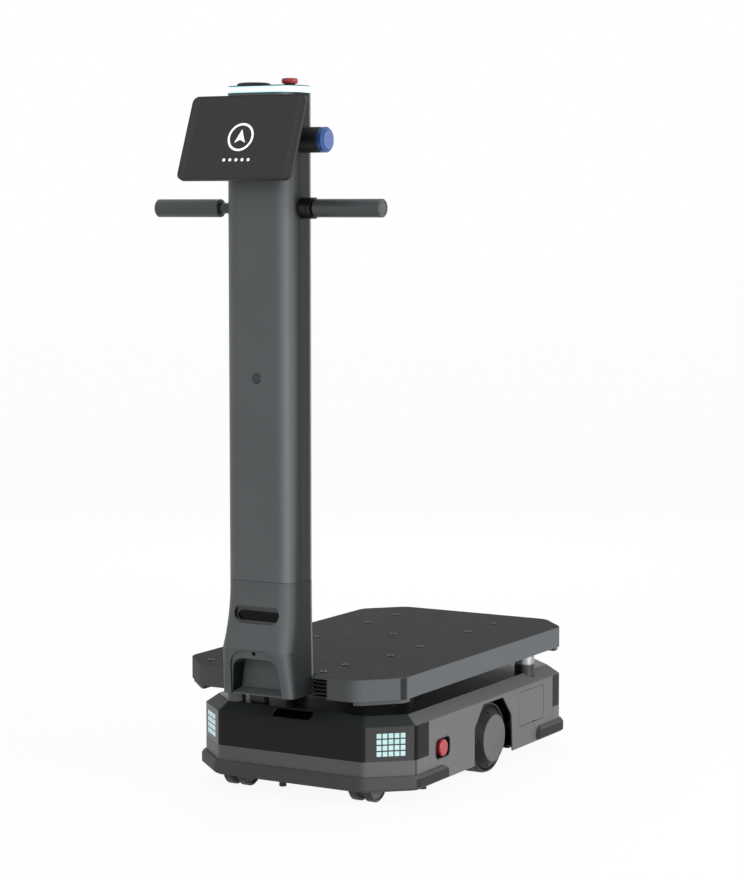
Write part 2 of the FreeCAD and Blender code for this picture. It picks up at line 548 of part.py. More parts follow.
def suspension_arm(side):
    """Trailing arm: bushed eye at the pivot, boss and fixed axle at the wheel."""
    x0, x1 = ARM_X, ARM_X + ARM_T
    eye, boss = BUSH_R + 7, 22.0
    length = WHEEL_Y - ARM_PIVOT_Y
    pivot, hub = Vector(x0, ARM_PIVOT_Y, Z_AXLE), Vector(x0, WHEEL_Y, Z_AXLE)
    web = side_prism([(ARM_PIVOT_Y, Z_AXLE - 14), (ARM_PIVOT_Y + length, Z_AXLE - 17),
                      (ARM_PIVOT_Y + length, Z_AXLE + 17), (ARM_PIVOT_Y, Z_AXLE + 14)], 0, x0, x1)
    step = Vector(ARM_T, 0, 0)
    arm = web.multiFuse([rod(eye, pivot, pivot + step), rod(boss, hub, hub + step)])
    pocket = side_prism([(ARM_PIVOT_Y + 26, Z_AXLE - 8), (WHEEL_Y - 28, Z_AXLE - 9),
                         (WHEEL_Y - 28, Z_AXLE + 9), (ARM_PIVOT_Y + 26, Z_AXLE + 8)], 4,
                        x0 - 1, x0 + 5)
    arm = arm.cut(pocket).cut(rod(BUSH_R + RUN_CLEARANCE, pivot - step, pivot + step * 2))
    axle = rod(AXLE_R, Vector(x1 - 1, WHEEL_Y, Z_AXLE), Vector(WHEEL_OUT - 6, WHEEL_Y, Z_AXLE))
    collar = rod(14.0, Vector(x1 - 1, WHEEL_Y, Z_AXLE), Vector(WHEEL_IN - 3.5, WHEEL_Y, Z_AXLE))
    arm = arm.multiFuse([axle, collar])
    return arm if side > 0 else mirrored(arm)


def pivot_bushes():
    """Rubber sleeves on the frame's pivot pins, one in each arm's eye."""
    sleeves = []
    for side in (-1, 1):
        start = Vector(side * ARM_X, ARM_PIVOT_Y, Z_AXLE)
        end = Vector(side * (ARM_X + ARM_T), ARM_PIVOT_Y, Z_AXLE)
        sleeves.append(rod(BUSH_R, start, end).cut(rod(PIVOT_R, start, end)))
    return sleeves


# ---- casters -----------------------------------------------------------------------------
CASTER_PLATE, CASTER_PLATE_T = 84.0, 5.0
CASTER_BOLT_R, CASTER_BOLT_PITCH = 3.3, 64.0
KINGPIN_R, RACE_R = 7.0, 26.0
CASTER_AXLE_R = 5.0
FORK_T = 9.0


def caster_bolts(x, y):
    half = CASTER_BOLT_PITCH / 2
    return [(x + i * half, y + j * half) for i in (-1, 1) for j in (-1, 1)]


def caster_mounts():
    """Bolted top plates with the fixed half of the swivel race and the kingpin."""
    plates = []
    for x, y in CASTER_PLACES.values():
        half, top = CASTER_PLATE / 2, Z_RAIL_BOTTOM
        low = top - CASTER_PLATE_T
        plate = prism(rect(x - half, x + half, y - half, y + half), 8, low, top)
        race = revolve([(0, 0), (RACE_R + 2, 0), (RACE_R, -4), (0, -4)], Vector(x, y, low), Z_AXIS, X_AXIS)
        pin = rod(KINGPIN_R, Vector(x, y, low - 22), Vector(x, y, low - 1))
        plate = plate.multiFuse([race, pin])
        for bolt_x, bolt_y in caster_bolts(x, y):
            hole = rod(CASTER_BOLT_R, Vector(bolt_x, bolt_y, low - 1), Vector(bolt_x, bolt_y, top + 1))
            plate = plate.cut(hole)
        plates.append(plate)
    return plates


def caster_fork(x, y):
    """Swivel head with the web that runs down between the twin wheels, and the axle."""
    top = Z_RAIL_BOTTOM - CASTER_PLATE_T - 4.3
    axle_y = y - CASTER_TRAIL
    head = revolve([(KINGPIN_R + RUN_CLEARANCE, 0), (RACE_R, 0), (RACE_R + 2, -5), (18, -14),
                    (12, -19), (KINGPIN_R + RUN_CLEARANCE, -19)], Vector(x, y, top), Z_AXIS, X_AXIS)
    web = side_prism([(y + 15, top - 8), (y + 9, top - 24), (axle_y + 10, CASTER_R - 9),
                      (axle_y - 10, CASTER_R - 9), (axle_y - 13, CASTER_R + 9), (y - 17, top - 8)],
                     [0, 6, 6, 6, 6, 0], x - FORK_T / 2, x + FORK_T / 2)
    hole = rod(KINGPIN_R + RUN_CLEARANCE, Vector(x, y, top - 19), Vector(x, y, top + 1))
    reach = CASTER_PITCH / 2 + CASTER_W / 2 - 2
    axle = rod(CASTER_AXLE_R, Vector(x - reach, axle_y, CASTER_R), Vector(x + reach, axle_y, CASTER_R))
    return head.fuse(web).cut(hole).fuse(axle)


def caster_wheels(x, y):
    """Twin wheels: rounded tread, dished faces and a plain bore."""
    wheels = []
    axle_y = y - CASTER_TRAIL
    for side in (-1, 1):
        centre = Vector(x + side * CASTER_PITCH / 2, axle_y, CASTER_R)
        half, bore = CASTER_W / 2, CASTER_AXLE_R + RUN_CLEARANCE
        half_profile = [(bore, half - 2), (CASTER_R - 7, half - 2), (CASTER_R - 5, half),
                        (CASTER_R - 3, half), (CASTER_R, half - 3)]
        profile = [(r, -a) for r, a in half_profile] + half_profile[::-1]
        wheels.append(revolve(profile, centre, X_AXIS, Z_AXIS))
    return wheels


# ---- inside the base ---------------------------------------------------------------------
BATTERY_W, BATTERY_Y0, BATTERY_Y1, Z_BATTERY_TOP = 170.0, WHEEL_Y - 136.5, WHEEL_Y + 58.5, 98.0
CONTROLLER_W, Z_CONTROLLER_TOP = 160.0, 74.0
CONTROLLER_Y0, CONTROLLER_Y1 = WHEEL_Y + 83.5, WHEEL_Y + 170.5
FIN_COUNT, FIN_PITCH, FIN_T, FIN_H = 13, 12.3, 4.0, 18.0
SENSOR_R = 7.0
SENSOR_PLACES = [(-37.0, BODY_FRONT + 35.0, 11.5), (204.0, BODY_FRONT + 154.0, 10.0),
                 (-204.0, BODY_FRONT + 154.0, 10.0)]


def battery_pack():
    """Closed case on the floor pan with a lid and a lifting grip."""
    half, z = BATTERY_W / 2, Z_BATTERY_TOP
    case = prism(rect(-half, half, BATTERY_Y0, BATTERY_Y1), 10, FLOOR_TOP, z)
    lid = prism(rect(-half + 3, half - 3, BATTERY_Y0 + 3, BATTERY_Y1 - 3), 9, z, z + 3)
    middle = (BATTERY_Y0 + BATTERY_Y1) / 2
    grip = box(-45, 45, middle - 6, middle + 6, z, z + 5)
    return case.multiFuse([lid, grip])


def controller_box():
    """Motor controller: flat case with a row of cooling fins."""
    half, z = CONTROLLER_W / 2, Z_CONTROLLER_TOP
    case = prism(rect(-half, half, CONTROLLER_Y0, CONTROLLER_Y1), 5, FLOOR_TOP, z)
    fins = []
    for i in range(FIN_COUNT):
        x = (i - (FIN_COUNT - 1) / 2) * FIN_PITCH
        fins.append(box(x - FIN_T / 2, x + FIN_T / 2, CONTROLLER_Y0 + 5, CONTROLLER_Y1 - 5,
                        z - 1, z + FIN_H))
    return case.multiFuse(fins)


def cliff_sensors():
    """Small round down-facing sensors under the floor pan."""
    return [rod(SENSOR_R, Vector(x, y, low), Vector(x, y, FLOOR_BOTTOM))
            for x, y, low in SENSOR_PLACES]


# ---- deck --------------------------------------------------------------------------------
Z_DECK_UNDER = Z_DECK_TOP - DECK_TOP_THICKNESS
Z_DECK_FRAME = Z_DECK_BOTTOM + 1.5
FOOT_GAP, FOOT_SPREAD = 0.7, 3.0
POST_COLLAR_TOP = 184.0


def deck_posts():
    """Steel posts from the frame's cross members up to the deck frame, waisted at the collar."""
    posts = []
    for x, y in POST_PLACES:
        profile = [(0, Z_RAIL_TOP), (POST_R, Z_RAIL_TOP), (POST_R, POST_COLLAR_TOP - 1),
                   (POST_R - 1.5, POST_COLLAR_TOP), (POST_R - 1.5, POST_COLLAR_TOP + 1),
                   (POST_R - 0.5, POST_COLLAR_TOP + 2), (POST_R - 0.5, Z_DECK_FRAME), (0, Z_DECK_FRAME)]
        posts.append(revolve(profile, Vector(x, y, 0), Z_AXIS, X_AXIS))
    return posts


FRAME_FRONT = COLUMN_BACK + 2.0
BAR_W, BAR_REACH = 26.0, DECK_WIDTH / 2 - 6.5
PAD_DROP = 7.0


def deck_frame():
    """Welded flat-bar frame under the deck sheet, with a block in each corner of the skirt."""
    z0, z1 = Z_DECK_FRAME, Z_DECK_UNDER
    starts = [FRAME_FRONT, DECK_FRONT + 81, PIVOT_CROSS_Y - BAR_W / 2, REAR_POST_Y - BAR_W / 2, DECK_REAR - 50]
    bars = [box(-BAR_REACH, BAR_REACH, y, y + BAR_W, z0, z1) for y in starts]
    bars += [box(side * 150 - 15, side * 150 + 15, FRAME_FRONT, DECK_REAR - 24, z0, z1) for side in (-1, 1)]
    inset = WALL + 0.4
    skirt_inside = prism(deck_outline(inset), DECK_CORNER_R - inset, Z_DECK_BOTTOM - PAD_DROP, z1)
    frame = bars[0].multiFuse(bars[1:]).common(skirt_inside)
    blocks = []
    for side in (-1, 1):
        x0, x1 = sorted((side * 165, side * FAR))
        blocks.append(skirt_inside.common(box(x0, x1, -FAR, DECK_FRONT + 95, 0, FAR)))
        blocks.append(skirt_inside.common(box(x0, x1, DECK_REAR - 95, FAR, 0, FAR)))
    return frame.multiFuse(blocks).removeSplitter()


def deck_holes():
    """Drilled pattern of the deck: two nested rectangles, a centre hole and the front rows."""
    half_x = DECK_PITCH_X / 2
    middle = (DECK_FRONT + DECK_REAR) / 2 + DECK_HOLE_SHIFT
    places = [(DECK_HOLE_X, middle)]
    for dy in (DECK_PITCH_Y / 2, DECK_INNER_PITCH_Y / 2):
        places += [(DECK_HOLE_X + i * half_x, middle + j * dy) for i in (-1, 1) for j in (-1, 1)]
    places += [(x, DECK_FRONT + reach) for x in FRONT_HOLE_XS for reach in FRONT_HOLE_REACHES]
    return places


def deck():
    """Folded sheet deck: drilled top, skirt all round, notched at the front for the column."""
    outer = prism(deck_outline(), DECK_CORNER_R, Z_DECK_BOTTOM, Z_DECK_TOP - 1)
    crown = loft([(deck_outline(), DECK_CORNER_R, Z_DECK_TOP - 1),
                  (deck_outline(1), DECK_CORNER_R - 1, Z_DECK_TOP)])
    inner = prism(deck_outline(WALL), DECK_CORNER_R - WALL, Z_DECK_BOTTOM, Z_DECK_UNDER)
    sheet = outer.fuse(crown).cut(inner)
    half = HALF_COLUMN + FOOT_SPREAD + FOOT_GAP
    sheet = sheet.cut(box(-half, half, -FAR, COLUMN_BACK + FOOT_GAP, 0, FAR))
    sheet = sheet.cut(box(-NOTCH_SKIRT_X, NOTCH_SKIRT_X, -FAR, DECK_FRONT + WALL + 1,
                          Z_DECK_BOTTOM, Z_DECK_UNDER))
    for x, y in deck_holes():
        sheet = sheet.cut(rod(DECK_HOLE_R, Vector(x, y, Z_DECK_UNDER - 1), Vector(x, y, FAR)))
    return sheet.removeSplitter()


VENT_FINS, VENT_PITCH, VENT_FIN_T = 5, 7.2, 2.6


def deck_vents():
    """Louvred blocks that close the deck's skirt on both sides of the column foot."""
    x0, x1 = HALF_COLUMN + 4.4, NOTCH_SKIRT_X - 0.5
    front, back = DECK_FRONT + 4.5, FRAME_FRONT
    z0, z1 = Z_DECK_BOTTOM + 1, Z_DECK_UNDER
    block = box(x0, x1, front, back, z0, z1)
    for i in range(VENT_FINS):
        low = z0 + 1.6 + VENT_FIN_T / 2 + i * VENT_PITCH
        block = block.cut(box(x0 - 1, x1 - 1.5, front - 1, back - 8, low, low + VENT_PITCH - VENT_FIN_T))
    return [block, mirrored(block)]


# ---- column ------------------------------------------------------------------------------
POST_BOX_X, POST_BOX_Y0, POST_BOX_Y1 = 60.0, COLUMN_Y + 6.0, COLUMN_Y + 38.0
BRACKET_TOP = 478.0
FLARE, FOOT_TOE = 18.0, 4.0
POCKET_BACK = COLUMN_FRONT + 33.0
ARCH_Z = 302.0
POCKET_Z, POCKET_HALF, POCKET_LEAN = 285.0, 55.3, 0.132
Z_SILL, Z_LIP = Z_FOOT_BOTTOM + 8.5, Z_FOOT_BOTTOM + 2.0
JOINT_GROOVE = 1.0


def column_bracket():
    """Steel post inside the foot, bolted to the deck frame, with the plug that fits the tube."""
    post = box(-POST_BOX_X, POST_BOX_X, POST_BOX_Y0, POST_BOX_Y1, Z_FOOT_BOTTOM + 1, BRACKET_TOP)
    hollow = box(-POST_BOX_X + 4, POST_BOX_X - 4, POST_BOX_Y0 + 4, POST_BOX_Y1 - 4,
                 Z_FOOT_BOTTOM + 5, FAR)
    heel = box(-POST_BOX_X + 2, POST_BOX_X - 2, POST_BOX_Y1 - 1, FRAME_FRONT, Z_FOOT_BOTTOM + 1,
               Z_DECK_UNDER - 0.5)
    plug = column_prism(COLUMN_WALL, Z_FOOT_TOP + 1, BRACKET_TOP)
    core = box(-POST_BOX_X + 4, POST_BOX_X - 4, POST_BOX_Y0 + 4, POST_BOX_Y1 - 4, 0, FAR)
    return post.cut(hollow).multiFuse([heel, plug.cut(core)])


def foot_section(front, half, z, radius):
    outline = rect(-half, half, front, COLUMN_BACK)
    return rounded_wire([Vector(x, y, z) for x, y in outline],
                        [radius, radius, COLUMN_R_REAR, COLUMN_R_REAR])


def arch_outline(half_low, half_high, z_low, z_high):
    return [(-half_low, z_low), (half_low, z_low), (half_high, z_high), (-half_high, z_high)]


def pocket_outline(inset, z_low):
    """Arch of the cable pocket pulled in by inset; its sides lean in towards the top."""
    z_high = POCKET_Z - inset
    half_low, half_high = (POCKET_HALF - inset - POCKET_LEAN * (z - Z_FOOT_BOTTOM) for z in (z_low, z_high))
    return arch_outline(half_low, half_high, z_low, z_high)


def foot_front(z):
    """Y of the foot's front face at the height of the arch, where it leans."""
    share = (z - Z_FOOT_BOTTOM) / (ARCH_Z - Z_FOOT_BOTTOM)
    return COLUMN_FRONT - FOOT_TOE - (FLARE - FOOT_TOE) * share


def column_foot():
    """Moulded foot: flared front with the arched cable pocket and the hooded camera recess."""
    sections = [foot_section(COLUMN_FRONT, HALF_COLUMN, Z_FOOT_TOP, COLUMN_R_FRONT),
                foot_section(COLUMN_FRONT, HALF_COLUMN, Z_FOOT_TOP - 20, COLUMN_R_FRONT),
                foot_section(COLUMN_FRONT - FLARE, HALF_COLUMN + FOOT_SPREAD / 2, ARCH_Z, 26.0),
                foot_section(COLUMN_FRONT - FOOT_TOE, HALF_COLUMN + FOOT_SPREAD, Z_FOOT_BOTTOM, 13.0)]
    upper = Part.makeLoft(sections[:3], True, False)
    lower = Part.makeLoft(sections[2:], True, True)
    foot = upper.fuse(lower)
    cavity = prism(rect(-HALF_COLUMN + 6, HALF_COLUMN - 6, COLUMN_FRONT + 8, COLUMN_BACK - 3),
                   [26, 26, 18, 18], ARCH_Z + 6, Z_FOOT_TOP - 3)
    slot = box(-POST_BOX_X, POST_BOX_X, POST_BOX_Y0, POST_BOX_Y1, 0, FAR)
    heel = box(-POST_BOX_X, POST_BOX_X, POST_BOX_Y1 - 1, FAR, 0, Z_DECK_UNDER + 1)
    foot = foot.cut(cavity).cut(slot).cut(heel)
    sunk = front_prism(arch_outline(69, 50, 0, ARCH_Z), [0, 0, 34, 34], -FAR, COLUMN_Y)
    wedge = side_prism([(-FAR, 0), (foot_front(0) + 4, 0), (foot_front(ARCH_Z + 9) + 4, ARCH_Z + 9),
                        (-FAR, ARCH_Z + 9)], 0, -FAR, FAR)
    foot = foot.cut(sunk.common(wedge))
    pocket = front_prism(pocket_outline(0, Z_LIP), [0, 0, 22, 22], -FAR, POCKET_BACK)
    lip_y = foot_front(Z_LIP)
    ramp = side_prism([(lip_y - FAR, Z_LIP), (lip_y, Z_LIP), (POCKET_BACK, Z_SILL), (POCKET_BACK, FAR),
                       (lip_y - FAR, FAR)], 0, -FAR, FAR)
    foot = foot.cut(pocket.common(ramp))
    foot = foot.cut(column_prism(-1, Z_FOOT_TOP - JOINT_GROOVE, Z_FOOT_TOP).cut(
        column_prism(JOINT_GROOVE, 0, FAR)))
    foot = foot.cut(rod(4.0, Vector(0, -FAR, PIN_HOLE_Z), Vector(0, foot_front(PIN_HOLE_Z) + 14, PIN_HOLE_Z)))
    return foot.cut(camera_recess())


PIN_HOLE_Z = 295.0
CAMERA_Z, CAMERA_W, CAMERA_H = 363.0, 90.0, 18.0
HOOD_TOP, HOOD_W = 386.0, 97.0
CAMERA_Y = COLUMN_FRONT + 7.0


def camera_recess():
    """Oblong recess whose hood leans in to the upright window at its foot."""
    low = CAMERA_Z - CAMERA_H / 2 - 4
    r = (HOOD_TOP - low) / 2 - 0.01
    oblong = front_prism(rect(-HOOD_W / 2, HOOD_W / 2, low, HOOD_TOP), r, -FAR, COLUMN_Y)
    wedge = side_prism([(-FAR, low - 5), (CAMERA_Y, low - 5), (CAMERA_Y, CAMERA_Z + CAMERA_H / 2),
                        (COLUMN_FRONT - 4.5, HOOD_TOP), (-FAR, HOOD_TOP)], 0, -FAR, FAR)
    return oblong.common(wedge)


def foot_camera_window():
    half, r = CAMERA_W / 2, CAMERA_H / 2
    outline = rect(-half, half, CAMERA_Z - r, CAMERA_Z + r)
    return front_prism(outline, r - 0.01, CAMERA_Y - 1.5, CAMERA_Y)


def foot_recess_panel():
    """Liner on the back of the pocket, with a raised rim along its left and lower edges."""
    y0, y1 = POCKET_BACK - 3, POCKET_BACK
    plate = front_prism(pocket_outline(0.4, Z_SILL), [0, 0, 21.5, 21.5], y0, y1)
    inner = front_prism(pocket_outline(3.4, Z_SILL + 4), [2, 2, 19, 19], y0 - 1, y0 + 1.5)
    return plate.cut(inner)


PLUG_Z, PLUG_R = 804.0, 10.0


def column_tube():
    """Aluminium extrusion with rounded corners, bored for the bar, the plug and the button."""
    tube = column_prism(0, Z_FOOT_TOP, Z_COLUMN_TOP).cut(column_prism(COLUMN_WALL, Z_FOOT_TOP, Z_COLUMN_TOP))
    reach = HALF_COLUMN + 20
    tube = tube.cut(rod(ROD_R, Vector(-reach, COLUMN_Y, HANDLE_Z), Vector(reach, COLUMN_Y, HANDLE_Z)))
    tube = tube.cut(rod(PLUG_R - 2, Vector(0, -FAR, PLUG_Z), Vector(0, COLUMN_Y, PLUG_Z)))
    return tube.cut(rod(STUB_R + 0.1, Vector(0, COLUMN_Y, BUTTON_Z), Vector(reach, COLUMN_Y, BUTTON_Z)))


def column_plug():
    """Round plug with a stepped rim and a slot, pressed into the column's front."""
    base = Vector(0, COLUMN_FRONT, PLUG_Z)
    plug = revolve([(0, 0), (PLUG_R, 0), (PLUG_R - 1, 1.6), (PLUG_R - 3, 1.6), (PLUG_R - 3.5, 0.8), (0, 0.8)],
                   base, Vector(0, -1, 0), X_AXIS)
    shank = rod(PLUG_R - 2, base + Vector(0, 6, 0), base)
    return plug.fuse(shank)


def light_ring():
    z1 = Z_COLUMN_TOP + LIGHT_RING_H
    return column_prism(0, Z_COLUMN_TOP, z1).cut(column_prism(8, Z_COLUMN_TOP, z1))


def top_cap():
    """Thin lid over the light ring, its edge bevelled, bored for the stop's stem."""
    z0 = Z_COLUMN_TOP + LIGHT_RING_H
    wires = []
    for inset, z in ((0.0, z0), (2.5, Z_CAP_TOP)):
        outline, radii = column_outline(inset)
        wires.append(rounded_wire([Vector(x, y, z) for x, y in outline], radii))
    lid = Part.makeLoft(wires, True, True).fuse(column_prism(8.3, z0 - 6, z0 + 0.5))
    base = top_stop_base()
    return lid.cut(rod(TOP_STEM_R + RUN_CLEARANCE, base - Z_AXIS * (TOP_STOP_TRAVEL + 1), base + Z_AXIS))


CEILING_CAMERA_X, CEILING_CAMERA_R, CEILING_CAMERA_H = -30.0, 31.0, 6.5


def ceiling_camera():
    """Low disc with a domed centre that looks up at the ceiling."""
    r, h = CEILING_CAMERA_R, CEILING_CAMERA_H
    profile = [(0, 0), (r, 0), (r, h - 2.5), (r - 3, h - 0.8), (r - 8, h), (12, h), (11, h - 1),
               (8, h - 0.2), (4, h + 0.4), (0, h + 0.6)]
    return revolve(profile, Vector(CEILING_CAMERA_X, COLUMN_Y, Z_CAP_TOP), Z_AXIS, X_AXIS)


# ---- screen ------------------------------------------------------------------------------
TILT = math.radians(SCREEN_TILT)
SCREEN_UP = Vector(0, math.sin(TILT), math.cos(TILT))
SCREEN_OUT = Vector(0, -math.cos(TILT), math.sin(TILT))
SCREEN_CENTRE = Vector(0, Y_FRONT + SCREEN_H / 2 * math.sin(TILT), SCREEN_CENTRE_Z)
GLASS_INSET, GLASS_T, SCREEN_R = 2.0, 2.0, 13.0
NECK_W = 68.0


def screen_slab(inset, back, front, radius):
    """Rounded slab square to the tilted screen, between two depths from its front face."""
    half_w, half_h = SCREEN_W / 2 - inset, SCREEN_H / 2 - inset
    corners = [SCREEN_CENTRE + Vector(x, 0, 0) + SCREEN_UP * v + SCREEN_OUT * back
               for x, v in rect(-half_w, half_w, -half_h, half_h)]
    return Part.Face(rounded_wire(corners, radius)).extrude(SCREEN_OUT * (front - back))


def screen_housing():
    """Tray behind the glass with a stepped back and the neck to the column."""
    tray = screen_slab(0, -SCREEN_T + 3, 0, SCREEN_R)
    tray = tray.fuse(screen_slab(5, -SCREEN_T, -SCREEN_T + 3, SCREEN_R - 4))
    tray = tray.cut(screen_slab(GLASS_INSET, -GLASS_T, 1, SCREEN_R - GLASS_INSET))
    z = SCREEN_CENTRE_Z
    neck = side_prism([(COLUMN_FRONT, z - 36), (COLUMN_FRONT, z + 36), (COLUMN_FRONT - 39, z + 20),
                       (COLUMN_FRONT - 51, z - 16)], 0, -NECK_W / 2, NECK_W / 2)
    neck = neck.cut(screen_slab(0, -SCREEN_T / 2, 60, SCREEN_R))
    return tray.fuse(neck)


def screen_glass():
    return screen_slab(GLASS_INSET + 0.15, -GLASS_T, 0, SCREEN_R - GLASS_INSET)


# ---- handle bar and button ---------------------------------------------------------------
def handle_rod():
    return rod(ROD_R, Vector(-GRIP_OUT + 4, COLUMN_Y, HANDLE_Z), Vector(GRIP_OUT - 4, COLUMN_Y, HANDLE_Z))


def handle_grip(side):
    """Rubber sleeve, closed at the outer end with a ringed cap."""
    low, high = GRIP_IN, GRIP_OUT
    profile = [(ROD_R, low), (GRIP_R - 1.5, low), (GRIP_R, low + 1.5), (GRIP_R, high - 1.5),
               (GRIP_R - 1.5, high), (12.5, high), (12.5, high - 0.8), (11, high - 0.8), (11, high - 0.3),
               (0, high - 0.3), (0, high - 4), (ROD_R, high - 4)]
    return revolve(profile, Vector(0, COLUMN_Y, HANDLE_Z), Vector(side, 0, 0), Z_AXIS)


COLLAR_R, COLLAR_OUT = 19.5, 100.0


def handle_collar():
    """Split clamp collar beside the column, with its slit and two cross screws."""
    start = Vector(HALF_COLUMN, COLUMN_Y, HANDLE_Z)
    collar = rod(COLLAR_R, start, Vector(COLLAR_OUT, COLUMN_Y, HANDLE_Z))
    groove = rod(COLLAR_R + 1, Vector(90, COLUMN_Y, HANDLE_Z), Vector(91.5, COLUMN_Y, HANDLE_Z))
    groove = groove.cut(rod(COLLAR_R - 1.5, Vector(80, COLUMN_Y, HANDLE_Z), Vector(99, COLUMN_Y, HANDLE_Z)))
    slit = box(HALF_COLUMN - 1, 90.5, COLUMN_Y - 1, COLUMN_Y + 1, HANDLE_Z, FAR)
    bore = rod(ROD_R, start - Vector(5, 0, 0), Vector(COLLAR_OUT + 5, COLUMN_Y, HANDLE_Z))
    return collar.cut(groove).cut(slit).cut(bore)


BUTTON_X0, BEZEL_X0, BEZEL_X1, BUTTON_FACE_X = HALF_COLUMN, 117.0, 128.0, 130.5
BUTTON_FACE_R, BUTTON_TRAVEL = 17.5, 2.5
BUTTON_GAP = BUTTON_TRAVEL + 0.5
PLUNGER_R, PLUNGER_L, STUB_R, STUB_L = 7.0, 12.0, 8.9, 8.0


def button_revolve(profile):
    return revolve(profile, Vector(0, COLUMN_Y, BUTTON_Z), X_AXIS, Z_AXIS)


def button_housing():
    """Cylindrical pod on the column's side, with its stub through the wall and a bored end."""
    bore, deep = PLUNGER_R + RUN_CLEARANCE, BEZEL_X0 - PLUNGER_L - BUTTON_TRAVEL - 1.5
    return button_revolve([(0, BUTTON_X0 - STUB_L), (STUB_R, BUTTON_X0 - STUB_L), (STUB_R, BUTTON_X0),
                           (BUTTON_R, BUTTON_X0), (BUTTON_R, BEZEL_X0 - 4),
                           (BUTTON_R - 0.8, BEZEL_X0 - 3.2), (BUTTON_R - 0.8, BEZEL_X0),
                           (bore, BEZEL_X0), (bore, deep), (0, deep)])


def button_bezel():
    inner = BUTTON_FACE_R + 0.4
    return button_revolve([(inner, BEZEL_X0), (BUTTON_R, BEZEL_X0), (BUTTON_R, BEZEL_X1 - 3),
                           (BUTTON_R - 3, BEZEL_X1), (inner, BEZEL_X1)])


def go_button():
    """Push cap with a slightly domed face on a plunger that runs in the pod's bore."""
    x = BUTTON_FACE_X
    low, base = BEZEL_X0 - PLUNGER_L, BEZEL_X0 + BUTTON_GAP
    return button_revolve([(0, low), (PLUNGER_R, low), (PLUNGER_R, base),
                           (BUTTON_FACE_R, base), (BUTTON_FACE_R, x - 1.5),
                           (BUTTON_FACE_R - 1.5, x - 0.4), (9, x), (0, x + 0.2)])


OUTLET_X, OUTLET_Y, OUTLET_W, OUTLET_L, Z_OUTLET_TOP = -97.0, BODY_FRONT + 48.0, 32.0, 24.0, 189.0
GLAND_X, GLAND_Y, GLAND_R, Z_GLAND_TOP = -142.6, BODY_FRONT + 37.0, 17.6, 192.0


def harness_outlet():
    """Moulded outlet on the base for the column's wiring, with a turned gland beside it."""
    x, y, w, l = OUTLET_X, OUTLET_Y, OUTLET_W / 2, OUTLET_L / 2
    body = prism(rect(x - w, x + w, y - l, y + l), 4, Z_COVER_TOP, Z_OUTLET_TOP)
    hollow = prism(rect(x - w + 4, x + w - 4, y - l + 4, y + l - 4), 2, Z_COVER_TOP + 4, FAR)
    r, z0, z1 = GLAND_R, Z_COVER_TOP, Z_GLAND_TOP
    gland = revolve([(0, z0), (r, z0), (r, z1 - 1.5), (r - 1.5, z1), (r - 6, z1), (r - 6, z1 - 8), (0, z1 - 8)],
                    Vector(GLAND_X, GLAND_Y, 0), Z_AXIS, X_AXIS)
    return [body.cut(hollow), gland]


# ---- nodes -------------------------------------------------------------------------------
def build():
    nodes = {
        "chassis_frame": [chassis_frame()],
        "top_cover": [top_cover()],
        "front_sensor_window": [front_sensor_window()],
        "side_panel_right": [side_panel(True)],
        "side_panel_left": [mirrored(side_panel(False))],
        "front_skirt": [skirt(True)],
        "rear_skirt": [skirt(False)],
        "front_light_panel": [light_panel(True)],
        "rear_light_panel": [light_panel(False)],
        "corner_light_cells": corner_light_cells(),
        "front_bumper": [bumper(True)],
        "rear_bumper": [bumper(False)],
        "side_estop_cups": [estop_cup(), mirrored(estop_cup())],
        "estop_collars": [stop_collar(*side_stop_base(side), Y_AXIS) for side in (-1, 1)] + [top_stop_collar()],
        "side_estop_left": [stop_head(*side_stop_base(-1), Y_AXIS)],
        "side_estop_right": [stop_head(*side_stop_base(1), Y_AXIS)],
        "top_estop_head": [top_estop_head()],
        "service_door": [service_door()],
        "charging_socket": [charging_socket()],
        "pivot_bushes": pivot_bushes(),
        "caster_mounts": caster_mounts(),
        "battery_pack": [battery_pack()],
        "controller_box": [controller_box()],
        "cliff_sensors": cliff_sensors(),
        "deck_posts": deck_posts(),
        "deck_frame": [deck_frame()],
        "deck": [deck()],
        "deck_vents": deck_vents(),
        "column_bracket": [column_bracket()],
        "column_foot": [column_foot()],
        "foot_recess_panel": [foot_recess_panel()],
        "foot_camera_window": [foot_camera_window()],
        "column_tube": [column_tube()],
        "column_plug": [column_plug()],
        "light_ring": [light_ring()],
        "top_cap": [top_cap()],
        "ceiling_camera": [ceiling_camera()],
        "screen_housing": [screen_housing()],
        "screen_glass": [screen_glass()],
        "handle_rod": [handle_rod()],
        "handle_grips": [handle_grip(-1), handle_grip(1)],
        "handle_collar": [handle_collar()],
        "button_housing": [button_housing()],
        "button_bezel": [button_bezel()],
        "go_button": [go_button()],
        "harness_outlet": harness_outlet(),
    }
    for side, word in ((-1, "left"), (1, "right")):
        nodes["drive_tire_" + word] = [drive_tire(side)]
        nodes["drive_hub_" + word] = [drive_hub(side)]
        nodes["suspension_arm_" + word] = [suspension_arm(side)]
    for word, (x, y) in CASTER_PLACES.items():
        nodes["caster_fork_" + word] = [caster_fork(x, y)]
        nodes["caster_wheels_" + word] = caster_wheels(x, y)
    return nodes


os.makedirs("parts", exist_ok=True)
for name, solids in build().items():
    shape = solids[0] if len(solids) == 1 else Part.makeCompound(solids)
    if shape.ShapeType == "Compound" and len(shape.Solids) == 1:
        shape = shape.Solids[0]
    print(name, len(shape.Solids), shape.isValid(), round(shape.Volume / 1000, 1))
    shape.exportStep("parts/" + name + ".step")
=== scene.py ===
import json
import math

import bmesh
import bpy
from mathutils import Matrix, Vector


